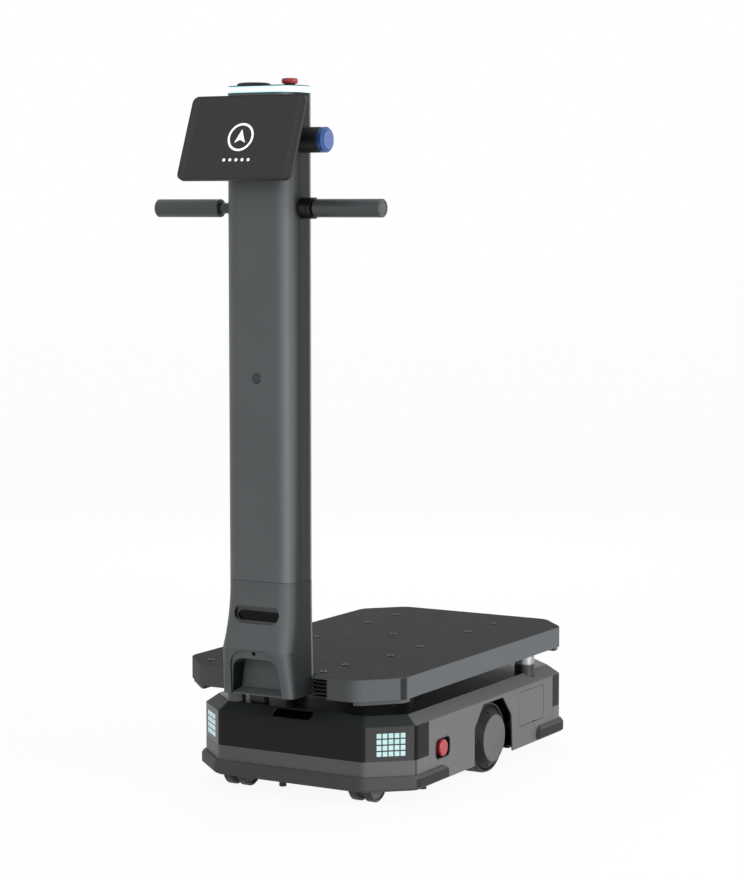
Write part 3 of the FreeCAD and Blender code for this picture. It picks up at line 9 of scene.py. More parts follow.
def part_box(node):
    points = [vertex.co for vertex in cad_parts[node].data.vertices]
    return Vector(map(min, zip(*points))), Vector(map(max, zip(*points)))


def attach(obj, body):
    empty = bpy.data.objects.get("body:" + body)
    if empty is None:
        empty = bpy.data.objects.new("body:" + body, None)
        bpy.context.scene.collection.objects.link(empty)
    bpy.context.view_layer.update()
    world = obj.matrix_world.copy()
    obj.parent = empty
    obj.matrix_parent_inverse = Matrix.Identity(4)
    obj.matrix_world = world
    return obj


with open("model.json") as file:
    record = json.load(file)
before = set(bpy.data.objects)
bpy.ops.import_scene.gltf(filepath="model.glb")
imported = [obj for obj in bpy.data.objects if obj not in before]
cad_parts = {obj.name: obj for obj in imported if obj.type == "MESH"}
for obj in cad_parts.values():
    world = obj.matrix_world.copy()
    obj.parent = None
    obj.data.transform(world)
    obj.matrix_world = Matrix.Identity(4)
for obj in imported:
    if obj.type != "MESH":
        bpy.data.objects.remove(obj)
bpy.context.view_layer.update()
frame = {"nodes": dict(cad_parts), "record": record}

# ---- Studio ------------------------------------------------------------------------------
# A white floor, a broad soft light on the right flank, a weaker one from the front and a
# faint one from behind. The camera stands at the robot's front right, at chest height.
CAMERA_PLACE = (2.4707, -4.2707, 1.1124)
CAMERA_LENS_MM = 102.66
CAMERA_YAW, CAMERA_DROP = 29.902, 5.249
FLOOR_HALF = 40.0
FLOOR_SHADE, FLOOR_GLOW = 0.3, 1.32
# name, place, aimed at, width and height in metres, watts
SOFTBOXES = [("flank_light", (3.2, 0.0, 0.7), (0.0, 0.0, 0.4), (2.0, 1.2), 62.0),
             ("front_light", (0.1, -4.0, 1.6), (0.0, -0.4, 0.8), (1.6, 1.8), 16.0),
             ("rear_light", (-1.8, 3.2, 1.8), (0.0, 0.0, 0.7), (2.0, 2.0), 16.0)]

scene = bpy.context.scene
scene.view_settings.view_transform = "Standard"
camera = bpy.data.objects.new("camera", bpy.data.cameras.new("camera"))
camera.data.lens = CAMERA_LENS_MM
camera.data.sensor_width = 36.0
camera.location = CAMERA_PLACE
camera.rotation_euler = (math.radians(90 - CAMERA_DROP), 0, math.radians(CAMERA_YAW))
scene.collection.objects.link(camera)
scene.camera = camera

for name, place, target, size, watts in SOFTBOXES:
    lamp = bpy.data.lights.new(name, "AREA")
    lamp.shape = "RECTANGLE"
    lamp.size, lamp.size_y = size
    lamp.energy = watts
    holder = bpy.data.objects.new(name, lamp)
    holder.location = place
    holder.rotation_euler = (Vector(target) - Vector(place)).to_track_quat("-Z", "Y").to_euler()
    scene.collection.objects.link(holder)


class Socket:
    """A value in a finish's node tree; Python's operators add the nodes that work it out."""

    def __init__(self, finish, output):
        self.finish, self.output = finish, output

    def combine(self, operation, left, right):
        sides = (left, right)
        kinds = {side.output.type for side in sides if isinstance(side, Socket)}
        if "VECTOR" in kinds:
            wide = [s if isinstance(s, (Socket, tuple)) else (s, s, s) for s in sides]
            return self.finish.node("VectorMath", {"operation": operation}, {0: wide[0], 1: wide[1]})
        return self.finish.node("Math", {"operation": operation}, {0: left, 1: right})

    def __add__(self, other):
        return self.combine("ADD", self, other)

    def __radd__(self, other):
        return self.combine("ADD", other, self)

    def __sub__(self, other):
        return self.combine("SUBTRACT", self, other)

    def __rsub__(self, other):
        return self.combine("SUBTRACT", other, self)

    def __mul__(self, other):
        return self.combine("MULTIPLY", self, other)

    def __rmul__(self, other):
        return self.combine("MULTIPLY", other, self)

    def between(self, low, high):
        """0 below low, 1 above high, and a straight ramp from one to the other."""
        return self.finish.node("MapRange", {"clamp": True}, {0: self, 1: low, 2: high, 3: 0.0, 4: 1.0})

    def choose(self, off, on):
        """The colour off where this is 0 and on where it is 1."""
        return self.finish.node("Mix", {"data_type": "RGBA"}, {0: self, 6: off, 7: on}, output=2)


class Finish:
    """One material: its Principled shader, the nodes that feed it and the nodes it dresses."""

    def __init__(self, name, **constants):
        self.material = bpy.data.materials.new(name)
        self.material.use_nodes = True
        self.tree = self.material.node_tree
        self.shader = self.tree.nodes["Principled BSDF"]
        self.feed(self.shader, {key.replace("_", " "): value for key, value in constants.items()})

    def feed(self, node, values):
        for place, value in values.items():
            if isinstance(value, Socket):
                self.tree.links.new(value.output, node.inputs[place])
            else:
                node.inputs[place].default_value = value

    def node(self, kind, settings=None, values=None, output=0):
        made = self.tree.nodes.new("ShaderNode" + kind)
        for name, setting in (settings or {}).items():
            setattr(made, name, setting)
        self.feed(made, values or {})
        return Socket(self, made.outputs[output])

    def place(self):
        return self.node("TexCoord", output="Object")

    def noise(self, scale, detail=2.0, stretch=(1, 1, 1)):
        """Cloudy value round a half; scale is in patches to the metre."""
        spread = self.place() * tuple(float(s) for s in stretch)
        return self.node("TexNoise", None, {"Vector": spread, "Scale": scale, "Detail": detail})

    def facing(self, axis):
        """How squarely the surface faces along one axis, from -1 to 1."""
        normal = self.node("NewGeometry", output="Normal")
        return self.node("SeparateXYZ", None, {"Vector": normal}, output=axis)

    def sideways(self):
        """1 where the surface faces straight left or right, 0 where it faces fore, aft or up."""
        turned = self.facing("X")
        return turned * turned

    def shaded_corners(self):
        """1 on the rounded corners between the chamfers and the flanks, which are darkened there as painted
        shade.
        """
        turned = self.sideways()
        return turned.between(0.62, 0.72) * (1.0 - turned.between(0.93, 0.985))

    def flanks(self):
        """1 on the left and right flanks, fading out over the front corners; 0 on the rear ones. The column
        and foot are darkened there as painted shade.
        """
        return self.sideways().between(0.4, 0.85) * (1.0 - self.facing("Y").between(0.0, 0.2))

    def along(self, axis):
        """The place along one axis, in metres."""
        return self.node("SeparateXYZ", None, {"Vector": self.place()}, output=axis)

    def edges(self, radius):
        """1 on corners sharper than the radius, 0 on the flats."""
        true = self.node("NewGeometry", output="Normal")
        soft = self.node("Bevel", {"samples": 4}, {"Radius": radius})
        along = self.node("VectorMath", {"operation": "DOT_PRODUCT"}, {0: true, 1: soft}, output="Value")
        return (1.0 - along).between(0.01, 0.25)

    def surface(self, colour, rough, corner=0.0008, grain=(900.0, 0.00004), peel=(160.0, 0.00005)):
        """Colour, roughness and a bump of grain over a longer ripple, on slightly broken corners."""
        soft = self.node("Bevel", {"samples": 4}, {"Radius": corner})
        long_wave = self.noise(peel[0]) * peel[1]
        height = self.noise(grain[0]) * grain[1] + long_wave
        bump = self.node("Bump", None, {"Strength": 1.0, "Distance": 1.0, "Height": height, "Normal": soft})
        self.feed(self.shader, {"Base Color": colour, "Roughness": rough, "Normal": bump})

    def dress(self, *names):
        for name in names:
            obj = frame["nodes"][name]
            obj.data.materials.clear()
            obj.data.materials.append(self.material)


def shade(code):
    """Linear colour of an sRGB hex code."""
    parts = [int(code[i:i + 2], 16) / 255 for i in (0, 2, 4)]
    return tuple(c / 12.92 if c <= 0.04045 else ((c + 0.055) / 1.055) ** 2.4 for c in parts) + (1.0,)


def backdrop_material():
    """White where the camera looks, with the object's shadow left in it."""
    floor = Finish("studio_floor", Roughness=0.9)
    floor.feed(floor.shader, {"Base Color": shade("a2a2a2")})
    path = floor.node("LightPath", output="Is Camera Ray")
    glossy = floor.node("LightPath", output="Is Glossy Ray")
    through = floor.node("LightPath", output="Is Transmission Ray")
    glow = floor.node("Emission", None, {"Color": (1, 1, 1, 1), "Strength": FLOOR_GLOW})
    seen = (path + glossy + through) * (1.0 - FLOOR_SHADE)
    out = floor.tree.nodes["Material Output"]
    mix = floor.node("MixShader", None, {0: seen, 1: Socket(floor, floor.shader.outputs[0]), 2: glow})
    floor.feed(out, {"Surface": mix})
    return floor.material


floor_mesh = bpy.data.meshes.new("studio_floor")
corners = [(x * FLOOR_HALF, y * FLOOR_HALF, 0.0) for x, y in ((-1, -1), (1, -1), (1, 1), (-1, 1))]
floor_mesh.from_pydata(corners, [], [(0, 1, 2, 3)])
floor_mesh.materials.append(backdrop_material())
floor_object = bpy.data.objects.new("studio_floor", floor_mesh)
scene.collection.objects.link(floor_object)

WORLD_LIGHT = 0.34
world = bpy.data.worlds.new("studio")
world.use_nodes = True
scene.world = world
sky = world.node_tree
ray = sky.nodes.new("ShaderNodeLightPath")
seen = ray.outputs["Is Camera Ray"]
for kind in ("Is Glossy Ray", "Is Transmission Ray"):
    wider = sky.nodes.new("ShaderNodeMath")
    wider.operation = "MAXIMUM"
    sky.links.new(seen, wider.inputs[0])
    sky.links.new(ray.outputs[kind], wider.inputs[1])
    seen = wider.outputs[0]
dim = sky.nodes.new("ShaderNodeMapRange")
dim.inputs[3].default_value = WORLD_LIGHT
dim.inputs[4].default_value = 1.0
sky.links.new(seen, dim.inputs[0])
sky.nodes["Background"].inputs["Color"].default_value = (1, 1, 1, 1)
sky.links.new(dim.outputs[0], sky.nodes["Background"].inputs["Strength"])

# ---- Chassis frame, drive arms and column bracket ----------------------------------------
# Welded steel ladder with its floor pan, the drive arms and the bracket inside the foot, in
# black powder coat: a little orange-peeled, and rubbed bright on its corners.
steel = Finish("frame_powder_coat")
rubbed = steel.edges(0.0012) * steel.noise(45.0, 4.0).between(0.45, 0.62)
steel.surface(rubbed.choose(shade("26282a"), shade("6d6f70")), steel.noise(30.0).between(-0.6, 2.2),
              corner=0.001, peel=(260.0, 0.00012))
steel.dress("chassis_frame", "column_bracket", "suspension_arm_left", "suspension_arm_right")

# ---- Drive wheels ------------------------------------------------------------------------
# Hub motors: a cast cover painted grey, its cone darkened as painted shade, held by
# five sunk cap screws inside a dark polyurethane tread that is scuffed where it meets the floor.
hub = Finish("hub_paint", Specular_IOR_Level=0.15)
face_tone = hub.noise(12.0, 3.0).between(0.3, 0.7).choose(shade("6b6e6d"), shade("747776"))
# painted shade: everything but the flat outer face is darkened
hub_tone = hub.sideways().between(0.6, 0.95).choose(shade("212323"), face_tone)
hub.surface(hub_tone, 0.42 + hub.noise(70.0) * 0.12, corner=0.0012, grain=(1400.0, 0.00002))
hub.dress("drive_hub_left", "drive_hub_right")

tread = Finish("tread_rubber", Specular_IOR_Level=0.35)
scuffed = tread.noise(60.0, 5.0).between(0.5, 0.72)
tread.surface(scuffed.choose(shade("3d3f3f"), shade("545653")), 0.62 + scuffed * 0.25,
              corner=0.001, grain=(700.0, 0.00008))
tread.dress("drive_tire_left", "drive_tire_right")


def bands(bm, rings):
    """Walls from each ring of vertices to the next."""
    for low, high in zip(rings, rings[1:]):
        for i in range(len(low)):
            j = (i + 1) % len(low)
            bm.faces.new((low[i], low[j], high[j], high[i]))


def piece_of(bm, name, finish, body):
    """The finished mesh as a named piece that rides on a body."""
    mesh = bpy.data.meshes.new(name)
    bm.to_mesh(mesh)
    bm.free()
    mesh.materials.append(finish.material)
    piece = bpy.data.objects.new(name, mesh)
    scene.collection.objects.link(piece)
    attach(piece, body)


SCREW_TURN = 24
SCREW_BEVEL = 0.12
SOCKET_SHARE, SOCKET_DEPTH = 0.52, 0.55


def cap_screws(name, body, places, radius, height):
    """Socket-head screws merged into one piece; places are (foot, direction) pairs."""
    bm = bmesh.new()
    for foot, direction in places:
        stand = direction.to_track_quat("Z", "Y").to_matrix().to_4x4()
        stand.translation = foot
        rings = []
        for step in range(5):
            ring = []
            for i in range(SCREW_TURN):
                a = 2 * math.pi * i / SCREW_TURN
                flat = radius * SOCKET_SHARE / math.cos((a + math.pi / 6) % (math.pi / 3) - math.pi / 6)
                r = (radius, radius, radius * (1 - SCREW_BEVEL), flat, flat)[step]
                z = (0.0, height - radius * SCREW_BEVEL, height, height, height * (1 - SOCKET_DEPTH))[step]
                ring.append(bm.verts.new(stand @ Vector((r * math.cos(a), r * math.sin(a), z))))
            rings.append(ring)
        bands(bm, rings)
        bm.faces.new(rings[0][::-1])
        bm.faces.new(rings[-1])
    piece_of(bm, name, blackened, body)


blackened = Finish("blackened_screws", Metallic=0.7)
worn = blackened.edges(0.0004) * 0.7
blackened_rough = 0.34 + blackened.noise(300.0) * 0.15
blackened.surface(worn.choose(shade("2c2d2e"), shade("77797a")), blackened_rough, corner=0.0003)

SCREW_COUNT, HUB_SCREW_R, HUB_SCREW_H = 5, 0.0036, 0.0024
SEAT_DEPTH, SEAT_LIFT = 0.0035, 0.00002
SEAT_IN, CONE_WIDE = 0.0095, 0.0195
for side, word in ((-1, "left"), (1, "right")):
    low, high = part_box("drive_hub_" + word)
    middle = (low + high) / 2
    face_x = high.x if side > 0 else low.x
    face_r = (high.z - low.z) / 2 - CONE_WIDE
    seats = []
    for i in range(SCREW_COUNT):
        a = 2 * math.pi * i / SCREW_COUNT
        outward = Vector((0, -math.cos(a), math.sin(a)))
        slope = (outward + Vector((side, 0, 0))).normalized()
        seat = Vector((face_x - side * SEAT_IN, middle.y, middle.z)) + outward * (face_r + SEAT_IN)
        seats.append((seat - slope * (SEAT_DEPTH - SEAT_LIFT), slope))
    cap_screws("hub_screws_" + word, word + "_drive_wheel", seats, HUB_SCREW_R, HUB_SCREW_H)

bush = Finish("bush_rubber", Specular_IOR_Level=0.3)
bush.surface(bush.noise(80.0).choose(shade("171717"), shade("222222")), 0.7 + bush.noise(50.0) * 0.2)
bush.dress("pivot_bushes")

# ---- Casters -----------------------------------------------------------------------------
# Twin-wheel swivel casters: zinc-plated plates and forks gone dull, dark tread round pale wheel
# sides, and four cap screws up through every top plate.
CASTERS = ["front_left", "front_right", "rear_left", "rear_right"]
zinc = Finish("caster_zinc", Metallic=0.75)
spangle = zinc.noise(140.0, 3.0).between(0.35, 0.65)
zinc.surface(spangle.choose(shade("4a4c4d"), shade("6e7173")), 0.38 + spangle * 0.2, corner=0.0006)
zinc.dress("caster_mounts", *["caster_fork_" + place for place in CASTERS])
PLATE_WIDE, PLATE_THICK, PLATE_SCREW_IN = 0.084, 0.005, 0.010
PLATE_SCREW_R = PLATE_SCREW_H = 0.005
low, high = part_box("caster_mounts")
plate_screws = []
for corner_x in (low.x, high.x - PLATE_WIDE):
    for corner_y in (low.y, high.y - PLATE_WIDE):
        for dx in (PLATE_SCREW_IN, PLATE_WIDE - PLATE_SCREW_IN):
            for dy in (PLATE_SCREW_IN, PLATE_WIDE - PLATE_SCREW_IN):
                underside = Vector((corner_x + dx, corner_y + dy, high.z - PLATE_THICK))
                plate_screws.append((underside, Vector((0, 0, -1))))
cap_screws("caster_plate_screws", "root", plate_screws, PLATE_SCREW_R, PLATE_SCREW_H)

caster_tread = Finish("caster_tread", Specular_IOR_Level=0.4)
dusty = caster_tread.noise(90.0, 4.0).between(0.5, 0.75)
rolling_tone = dusty.choose(shade("2d2e2f"), shade("4a4c4d"))
caster_tone = caster_tread.sideways().between(0.7, 0.95).choose(rolling_tone, shade("66696a"))
caster_tread.surface(caster_tone, 0.5 + dusty * 0.3, corner=0.0008)
caster_tread.dress(*["caster_wheels_" + place for place in CASTERS])

# ---- Battery, controller and floor sensors -----------------------------------------------
# Inside the base: a satin battery case, a finned aluminium controller and the small black
# barrels of the sensors that look down at the floor.
case = Finish("battery_paint", Metallic=0.1)
case.surface(case.noise(25.0).choose(shade("2b333c"), shade("343e49")), 0.4 + case.noise(60.0) * 0.15)
case.dress("battery_pack")

fins = Finish("anodised_fins", Metallic=0.85)
drawn = fins.noise(600.0, 2.0, (1, 0.04, 1))
fins.surface(drawn.choose(shade("85888c"), shade("9a9da1")), 0.34 + drawn * 0.14, corner=0.0004)
fins.dress("controller_box")

barrel = Finish("sensor_black")
barrel.surface(barrel.noise(60.0).choose(shade("161616"), shade("222223")), 0.5 + barrel.noise(90.0) * 0.2)
barrel.dress("cliff_sensors")

# ---- Side panels, skirts, service door ---------------------------------------------------
# Injection-moulded covers in warm mid grey with a fine spark-eroded texture: painted shade on the
# upright corners and round the service door's rim, a trace of dust towards the floor.
panel = Finish("panel_plastic", Specular_IOR_Level=0.42)
dust = (1.0 - panel.along("Z").between(0.03, 0.09)) * panel.noise(55.0, 5.0).between(0.5, 0.8) * 0.4
panel_tone = panel.noise(6.0, 3.0).between(0.3, 0.7).choose(shade("6b6e6d"), shade("707372"))
# painted shade: the rounded upright corners are darkened
panel_tone = (panel.shaded_corners() * 0.85).choose(panel_tone, shade("2b2f2f"))
panel.surface(dust.choose(panel_tone, shade("7c7b77")), 0.46 + panel.noise(40.0) * 0.1 + dust * 0.3,
              grain=(1600.0, 0.00003))
panel.dress("side_panel_right", "side_panel_left", "front_skirt", "rear_skirt")

door = Finish("door_plastic", Specular_IOR_Level=0.42)
door_tone = door.noise(6.0, 3.0).between(0.3, 0.7).choose(shade("6b6e6d"), shade("707372"))
# painted shade: the door's edges are darkened where the gap round it lies
rim = door.edges(0.0016)
door.surface(rim.choose(door_tone, shade("1d1f1f")), 0.46 + rim * 0.2 + door.noise(40.0) * 0.1,
             grain=(1600.0, 0.00003))
door.dress("service_door")

# ---- Top cover and wiring outlet ---------------------------------------------------------
# The lid of the base, finished like the panels that it meets; its flat top and front shoulders are
# smoother, and darkened as painted shade for the shadow that the deck casts on them. The outlet on
# it is a dull steel gland beside a dark moulded block.
cover = Finish("cover_plastic", Specular_IOR_Level=0.04)
# painted shade: the flat top and the front-facing shoulders are darkened for the shade under the deck
lid_top = cover.facing("Z").between(0.88, 0.94)
front_slope = (cover.facing("Y") * -1.0).between(0.22, 0.3)
under_deck_shade = (lid_top + front_slope).between(0.4, 0.6)
slope_tone = cover.noise(6.0, 3.0).between(0.3, 0.7).choose(shade("6d706f"), shade("727574"))
lid_tone = cover.noise(7.0, 3.0).between(0.3, 0.7).choose(shade("262a2a"), shade("2c3030"))
under_deck_tone = front_slope.choose(lid_tone, shade("454b48"))
cover.surface(under_deck_shade.choose(slope_tone, under_deck_tone), 0.46 - under_deck_shade * 0.2 + cover.noise(45.0) * 0.1,
              grain=(1600.0, 0.00003))
cover.dress("top_cover")

outlet = Finish("outlet_steel", Metallic=0.5)
outlet_grain = outlet.noise(500.0, 2.0, (1, 1, 0.05))
GLAND_SIDE_X = -0.120
moulded = outlet.along("X").between(GLAND_SIDE_X, GLAND_SIDE_X + 0.002)
outlet_tone = moulded.choose(outlet_grain.choose(shade("48494a"), shade("5a5c5d")), shade("252829"))
outlet.surface(outlet_tone, 0.3 + outlet_grain * 0.15, corner=0.0005)
outlet.dress("harness_outlet")

# ---- End light panels and their cells ----------------------------------------------------
# Gloss-black polycarbonate with hairline marks, a painted reflection making its chamfers paler and
# painted shade where it wraps onto the flanks, over square diffusing cells lit a cool, slightly cloudy white.
gloss = Finish("gloss_black", Specular_IOR_Level=0.1)
hairline = gloss.noise(220.0, 6.0, (1, 1, 6)).between(0.62, 0.8)
turned = gloss.sideways()
# painted shade on the sides where the panel wraps round; painted reflection on the chamfers
wrap_shade = turned.between(0.6, 0.7)
chamfer = turned.between(0.3, 0.4) * (1.0 - wrap_shade)
gloss_tone = wrap_shade.choose(chamfer.choose(shade("303030"), shade("565656")), shade("191919"))
gloss.surface(hairline.choose(gloss_tone, shade("262627")), 0.2 + hairline * 0.12,
              corner=0.0006, grain=(300.0, 0.000002), peel=(20.0, 0.00001))
gloss.dress("front_light_panel", "rear_light_panel")

cells = Finish("light_cell", Emission_Strength=0.62)
glow = cells.noise(110.0, 1.0).between(0.3, 0.7).choose(shade("b9f2f6"), shade("e6ffff"))
cells.surface(shade("8fa3a4"), 0.4 + cells.noise(80.0) * 0.05, corner=0.0006)
cells.feed(cells.shader, {"Emission Color": glow})
cells.dress("corner_light_cells")

# ---- Windows -----------------------------------------------------------------------------
# Infrared-clear acrylic set into the base's front and the foot's recess, over their cameras:
# nearly black and polished.
window = Finish("window_acrylic", Specular_IOR_Level=0.12)
window.surface(window.noise(30.0).choose(shade("060606"), shade("0d0d0e")), 0.12 + window.noise(70.0) * 0.05,
               corner=0.0004, grain=(200.0, 0.000001), peel=(20.0, 0.000004))
window.dress("front_sensor_window", "foot_camera_window")

# ---- Bumpers -----------------------------------------------------------------------------
# Extruded rubber strips round both ends; matt, greenish black, with painted shade darkening them
# along the flanks, and marked by knocks.
rubber = Finish("bumper_rubber", Specular_IOR_Level=0.3)
knocks = rubber.noise(18.0, 6.0, (1, 1, 5)).between(0.58, 0.74) * 0.6
# painted shade: the flanks are darkened
rubber_tone = rubber.sideways().between(0.55, 0.8).choose(shade("5b5d5c"), shade("272928"))
rubber.surface(knocks.choose(rubber_tone, shade("555754")), 0.66 + knocks * 0.2,
               corner=0.0015, grain=(800.0, 0.00006))
rubber.dress("front_bumper", "rear_bumper")

# ---- Emergency stops and the charging socket ---------------------------------------------
# Red mushroom heads in semi-gloss nylon on black collars; the side ones sit in black cups. The
# same black moulding makes the charging socket, deck vents, top cap, its camera and the pod.
stop = Finish("stop_red", Specular_IOR_Level=0.5, Coat_Weight=0.15, Coat_Roughness=0.2)
stop_tone = stop.noise(60.0, 3.0).between(0.3, 0.7).choose(shade("b8353c"), shade("c5434a"))
stop.surface(stop_tone, 0.34 + stop.noise(120.0) * 0.12, corner=0.001, grain=(1200.0, 0.00002))
stop.dress("side_estop_left", "side_estop_right", "top_estop_head")

black = Finish("black_moulding", Specular_IOR_Level=0.4)
black.surface(black.noise(40.0).choose(shade("161717"), shade("202121")), 0.5 + black.noise(60.0) * 0.15)
black.dress("side_estop_cups", "estop_collars", "charging_socket", "deck_vents", "top_cap",
            "ceiling_camera", "button_housing")

# ---- Deck posts and deck -----------------------------------------------------------------
# Turned steel posts, the front pair in full dark sleeves, carry a flat-bar frame and a folded
# sheet deck in fine powder coat: its top is darkened as painted shade and scuffed lightly by loads,
# its skirt is paler with painted shade on its rounded corners, and press nuts line its drilled holes.
post = Finish("turned_steel", Metallic=0.95)
turning = post.noise(900.0, 2.0, (0.05, 0.05, 1))
SLEEVE_TOP = 0.1835
bare = post.along("Z").between(SLEEVE_TOP, SLEEVE_TOP + 0.0005) * post.along("Y").between(0.0, 0.1)
sleeve_tone = turning.choose(shade("3a3838"), shade("484545"))
post_tone = bare.choose(sleeve_tone, turning.choose(shade("8f9294"), shade("a9acae")))
post.surface(post_tone, 0.3 + turning * 0.16, corner=0.0006)
post.dress("deck_posts")

deck = Finish("deck_powder_coat", Specular_IOR_Level=0.015)
top_side = deck.facing("Z").between(0.6, 0.9)
drag = deck.noise(9.0, 7.0, (1, 0.25, 1)).between(0.6, 0.8) * top_side * 0.35
# painted shade: the skirt's rounded upright corners are darkened
skirt_tone = (deck.shaded_corners() * 0.85).choose(shade("75787a"), shade("2b2f2f"))
# painted shade: the top is darker than the skirt
deck_tone = top_side.choose(skirt_tone, shade("373838"))
deck.surface(drag.choose(deck_tone, shade("424444")), 0.55 + drag * 0.2 + deck.noise(50.0) * 0.08,
             corner=0.0012, grain=(1100.0, 0.00005), peel=(240.0, 0.00006))
deck.dress("deck")

rack = Finish("deck_frame_coat", Specular_IOR_Level=0.3)
PAD_TOP = 0.2076
pad = 1.0 - rack.along("Z").between(PAD_TOP, PAD_TOP + 0.0005)
chipped = rack.edges(0.0012) * rack.noise(45.0, 4.0).between(0.45, 0.62)
rack_tone = pad.choose(chipped.choose(shade("202223"), shade("6d6f70")), shade("5d5f61"))
rack.surface(rack_tone, 0.5 + rack.noise(30.0) * 0.15, corner=0.001, peel=(260.0, 0.00012))
rack.dress("deck_frame")

NUT_OUT, NUT_IN, NUT_PROUD, NUT_DEEP = 0.0075, 0.0030, 0.0012, 0.003
NUT_TAPER, NUT_LEAD, NUT_TURN = 0.0003, 0.0004, 28


def drilled_places():
    """Where the deck's patterns and single hole lie, from the part's own mounts."""
    places = []
    for mount in frame["record"]["mounts"]:
        x, y, z = mount["pos_m"]
        if mount["kind"] == "bolt_pattern":
            dx, dy = mount["dims"]["spacing_x_mm"] / 2000, mount["dims"]["spacing_y_mm"] / 2000
            places += [(x + i * dx, y + j * dy, z) for i in (-1, 1) for j in (-1, 1)]
        elif mount["kind"] == "threaded_hole":
            places.append((x, y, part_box("deck")[1].z))
    return places


nut = Finish("nut_black", Metallic=0.3, Specular_IOR_Level=0.3)
nut.surface(nut.noise(400.0).choose(shade("0e0f0f"), shade("1b1c1d")), 0.45 + nut.noise(500.0) * 0.2,
            corner=0.0002)

nut_profile = [(NUT_OUT, 0.0), (NUT_OUT - NUT_TAPER, NUT_PROUD),
               (NUT_IN + NUT_LEAD, NUT_PROUD), (NUT_IN, -NUT_DEEP)]
nut_turn = [2 * math.pi * i / NUT_TURN for i in range(NUT_TURN)]
bm = bmesh.new()
for x, y, z in drilled_places():
    rings = [[bm.verts.new((x + r * math.cos(a), y + r * math.sin(a), z + rise)) for a in nut_turn]
             for r, rise in nut_profile]
    bands(bm, rings + rings[:1])
bmesh.ops.recalc_face_normals(bm, faces=bm.faces)
piece_of(bm, "deck_press_nuts", nut, "root")

# ---- Column and foot ---------------------------------------------------------------------
# Anodised extrusion, bead-blasted to a satin slate grey with faint die lines up its length, with
# painted shade on its flanks and painted highlights on its corners, standing in a moulded foot painted to
# match.
column = Finish("slate_anodising", Specular_IOR_Level=0.2)
die_lines = column.noise(500.0, 3.0, (1, 1, 0.008))
column_tone = column.noise(4.0, 2.0).between(0.3, 0.7).choose(shade("797d7f"), shade("808486"))
# painted highlight: lighter where the surface turns to the right, on the right front corner
column_tone = column.facing("X").between(0.25, 0.5).choose(column_tone, shade("8e9294"))
# painted highlight: lighter on both rear corners
rear_corner_highlight = column.facing("Y").between(0.1, 0.35) * column.sideways().between(0.2, 0.4)
column_tone = rear_corner_highlight.choose(column_tone, shade("a0a4a6"))
# painted shade: the flanks are darkened
column_tone = column.flanks().choose(column_tone, shade("1f2223"))
column.surface(column_tone, 0.36 + die_lines * 0.1, corner=0.0008, grain=(1500.0, 0.00001),
               peel=(80.0, 0.00001))
column.dress("column_tube")

foot = Finish("foot_paint", Specular_IOR_Level=0.2)
foot_tone = foot.noise(8.0, 3.0).between(0.3, 0.7).choose(shade("767a7c"), shade("7d8183"))
# painted shade: the foot's flanks are darkened like the column's
foot_tone = foot.flanks().choose(foot_tone, shade("1f2223"))
foot.surface(foot_tone, 0.44 + foot.noise(60.0) * 0.1, corner=0.0012, grain=(1400.0, 0.00003))
foot.dress("column_foot", "foot_recess_panel")

# ---- Handle bar, collar and plug ---------------------------------------------------------
# A painted steel bar through the column, foam-rubber sleeves with ringed end caps, a black
# oxide clamp collar, and the round plug in the column's front.
bar = Finish("bar_paint", Metallic=0.5)
bar.surface(bar.noise(50.0).choose(shade("3a3d3e"), shade("464a4b")), 0.3 + bar.noise(90.0) * 0.12)
bar.dress("handle_rod", "column_plug")

grip = Finish("grip_foam", Specular_IOR_Level=0.5)
pores = grip.node("TexVoronoi", {"feature": "F1"}, {"Vector": grip.place(), "Scale": 900.0})
grip.surface(pores.between(0.1, 0.7).choose(shade("494d4e"), shade("595e5f")), 0.38 + grip.noise(90.0) * 0.12,
             corner=0.001, grain=(1000.0, 0.00003))
grip.dress("handle_grips")

oxide = Finish("black_oxide", Metallic=0.6)
oxide.surface(oxide.noise(70.0).choose(shade("1a1819"), shade("262425")), 0.34 + oxide.noise(90.0) * 0.15)
oxide.dress("handle_collar")

# ---- Button ------------------------------------------------------------------------------
# A pale blue push cap in a deeper blue ring, at the end of the pod on the
# column's right flank; both are semi-gloss plastic.
bezel = Finish("bezel_blue", Specular_IOR_Level=0.5)
bezel.surface(bezel.noise(80.0).choose(shade("3362ad"), shade("3d6cb6")), 0.3 + bezel.noise(120.0) * 0.1)
bezel.dress("button_bezel")

cap = Finish("button_blue", Specular_IOR_Level=0.5)
cap.surface(cap.noise(80.0).choose(shade("6079bb"), shade("6d85c4")), 0.36 + cap.noise(120.0) * 0.1)
cap.dress("go_button")

# ---- Light ring --------------------------------------------------------------------------
# Opal plastic ring between the column and its cap, lit cool white and a touch greener along
# its two edges.
RIM = 0.004
ring = Finish("ring_light", Emission_Strength=0.95)
ring_low, ring_high = (corner.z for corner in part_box("light_ring"))
above_rim = ring.along("Z").between(ring_low, ring_low + RIM)
inner = above_rim * (1.0 - ring.along("Z").between(ring_high - RIM, ring_high))
ring.surface(shade("def4f4"), 0.3 + ring.noise(60.0) * 0.05, corner=0.0005)
ring.feed(ring.shader, {"Emission Color": inner.choose(shade("8fe3ec"), shade("eeffff"))})
ring.dress("light_ring")

# ---- Screen ------------------------------------------------------------------------------
# A moulded tray holds an etched cover glass; a lit status picture stands in its middle: a
# dial ring with a heading arrow, and a row of step dots under it.
tray = Finish("screen_case", Specular_IOR_Level=0.4)
tray.surface(tray.noise(40.0).choose(shade("1c1d1e"), shade("262728")), 0.46 + tray.noise(80.0) * 0.12)
tray.dress("screen_housing")

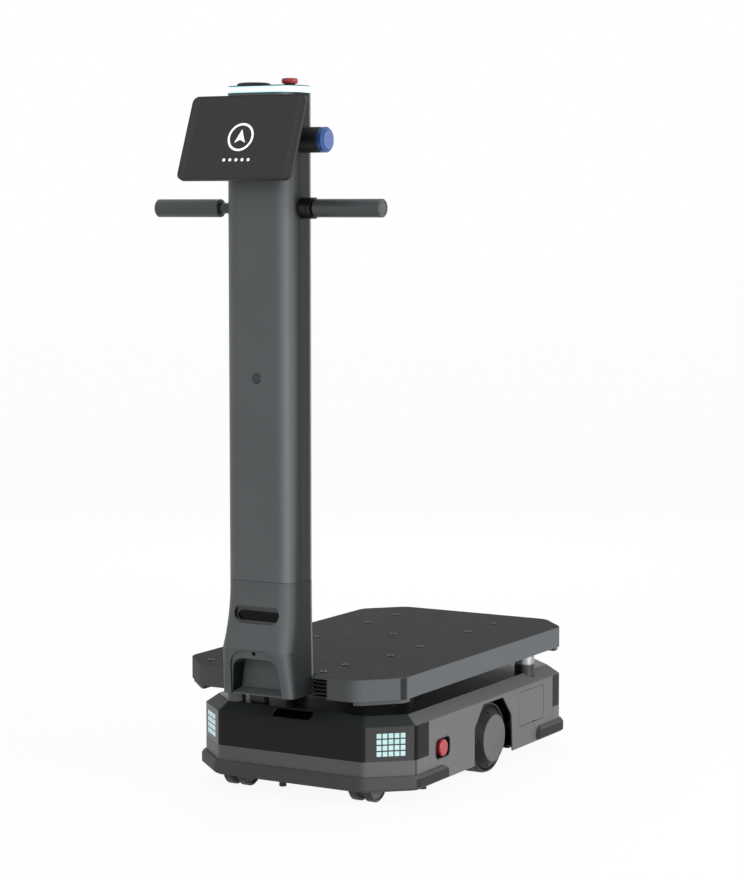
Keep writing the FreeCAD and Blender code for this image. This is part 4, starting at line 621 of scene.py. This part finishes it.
BORDER, BORDER_BLUR = 0.014, 1.004
glass = Finish("screen_glass", Specular_IOR_Level=0.2)
glass_low, glass_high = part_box("screen_glass")
half_wide = (glass_high.x - glass_low.x) / 2 - BORDER
across = glass.along("X")
border = (across * across).between(half_wide ** 2, half_wide ** 2 * BORDER_BLUR)
etched = glass.noise(5.0).choose(shade("494949"), shade("4c4c4c"))
glass.surface(border.choose(etched, shade("515151")), 0.38 + glass.noise(30.0) * 0.06,
              corner=0.0006, grain=(2000.0, 0.000004), peel=(20.0, 0.000004))
glass.dress("screen_glass")

GLASS_LIFT = 0.0002
STATUS_THICK = 0.0001
DIAL_R, DIAL_W = 0.027, 0.0042
ARROW = [(0.0, 0.0150), (0.0115, -0.0110), (0.0, -0.0050), (-0.0115, -0.0110)]
DOT_R, DOT_PITCH, DOT_DROP, DOT_COUNT = 0.0030, 0.0130, 0.0440, 5
TURN_STEPS = 64
FRONTWARD = -0.8


def screen_plane():
    """Middle of the glass's front face, with its right, up and outward directions."""
    mesh = frame["nodes"]["screen_glass"].data
    front = max((p for p in mesh.polygons if p.normal.y < FRONTWARD), key=lambda p: p.area)
    out = front.normal.normalized()
    right = Vector((1, 0, 0))
    up = out.cross(right)
    depth = max(v.co.dot(out) for v in mesh.vertices)
    middle = (glass_low + glass_high) / 2
    return middle + out * (depth - middle.dot(out)), right, up, out


def status_picture():
    """Thin raised shapes of the lit picture, built flat and stood on the glass."""
    bm = bmesh.new()
    turns = [2 * math.pi * i / TURN_STEPS for i in range(TURN_STEPS)]
    outer = [bm.verts.new((DIAL_R * math.cos(a), DIAL_R * math.sin(a), 0)) for a in turns]
    inner_r = DIAL_R - DIAL_W
    inside = [bm.verts.new((inner_r * math.cos(a), inner_r * math.sin(a), 0)) for a in turns]
    for i in range(TURN_STEPS):
        j = (i + 1) % TURN_STEPS
        bm.faces.new((outer[i], outer[j], inside[j], inside[i]))
    tip, right_foot, notch, left_foot = [bm.verts.new((x, y, 0)) for x, y in ARROW]
    bm.faces.new((tip, notch, right_foot))
    bm.faces.new((tip, left_foot, notch))
    for i in range(DOT_COUNT):
        x = (i - (DOT_COUNT - 1) / 2) * DOT_PITCH
        rim = [(x + DOT_R * math.cos(a), -DOT_DROP + DOT_R * math.sin(a), 0) for a in turns[::2]]
        bm.faces.new([bm.verts.new(point) for point in rim])
    bmesh.ops.recalc_face_normals(bm, faces=bm.faces)
    made = bmesh.ops.extrude_face_region(bm, geom=bm.faces[:])
    for element in made["geom"]:
        if isinstance(element, bmesh.types.BMVert):
            element.co.z += STATUS_THICK
    bmesh.ops.recalc_face_normals(bm, faces=bm.faces)
    middle, right, up, out = screen_plane()
    stand = Matrix((right, up, out)).transposed().to_4x4()
    stand.translation = middle + out * GLASS_LIFT
    bmesh.ops.transform(bm, matrix=stand, verts=bm.verts)
    return bm


lit = Finish("status_light", Emission_Strength=0.9)
lit.surface(shade("f2f5f5"), 0.4 + lit.noise(60.0) * 0.05)
lit.feed(lit.shader, {"Emission Color": lit.noise(200.0).choose(shade("f4fbfb"), shade("ffffff"))})
piece_of(status_picture(), "screen_status", lit, "root")
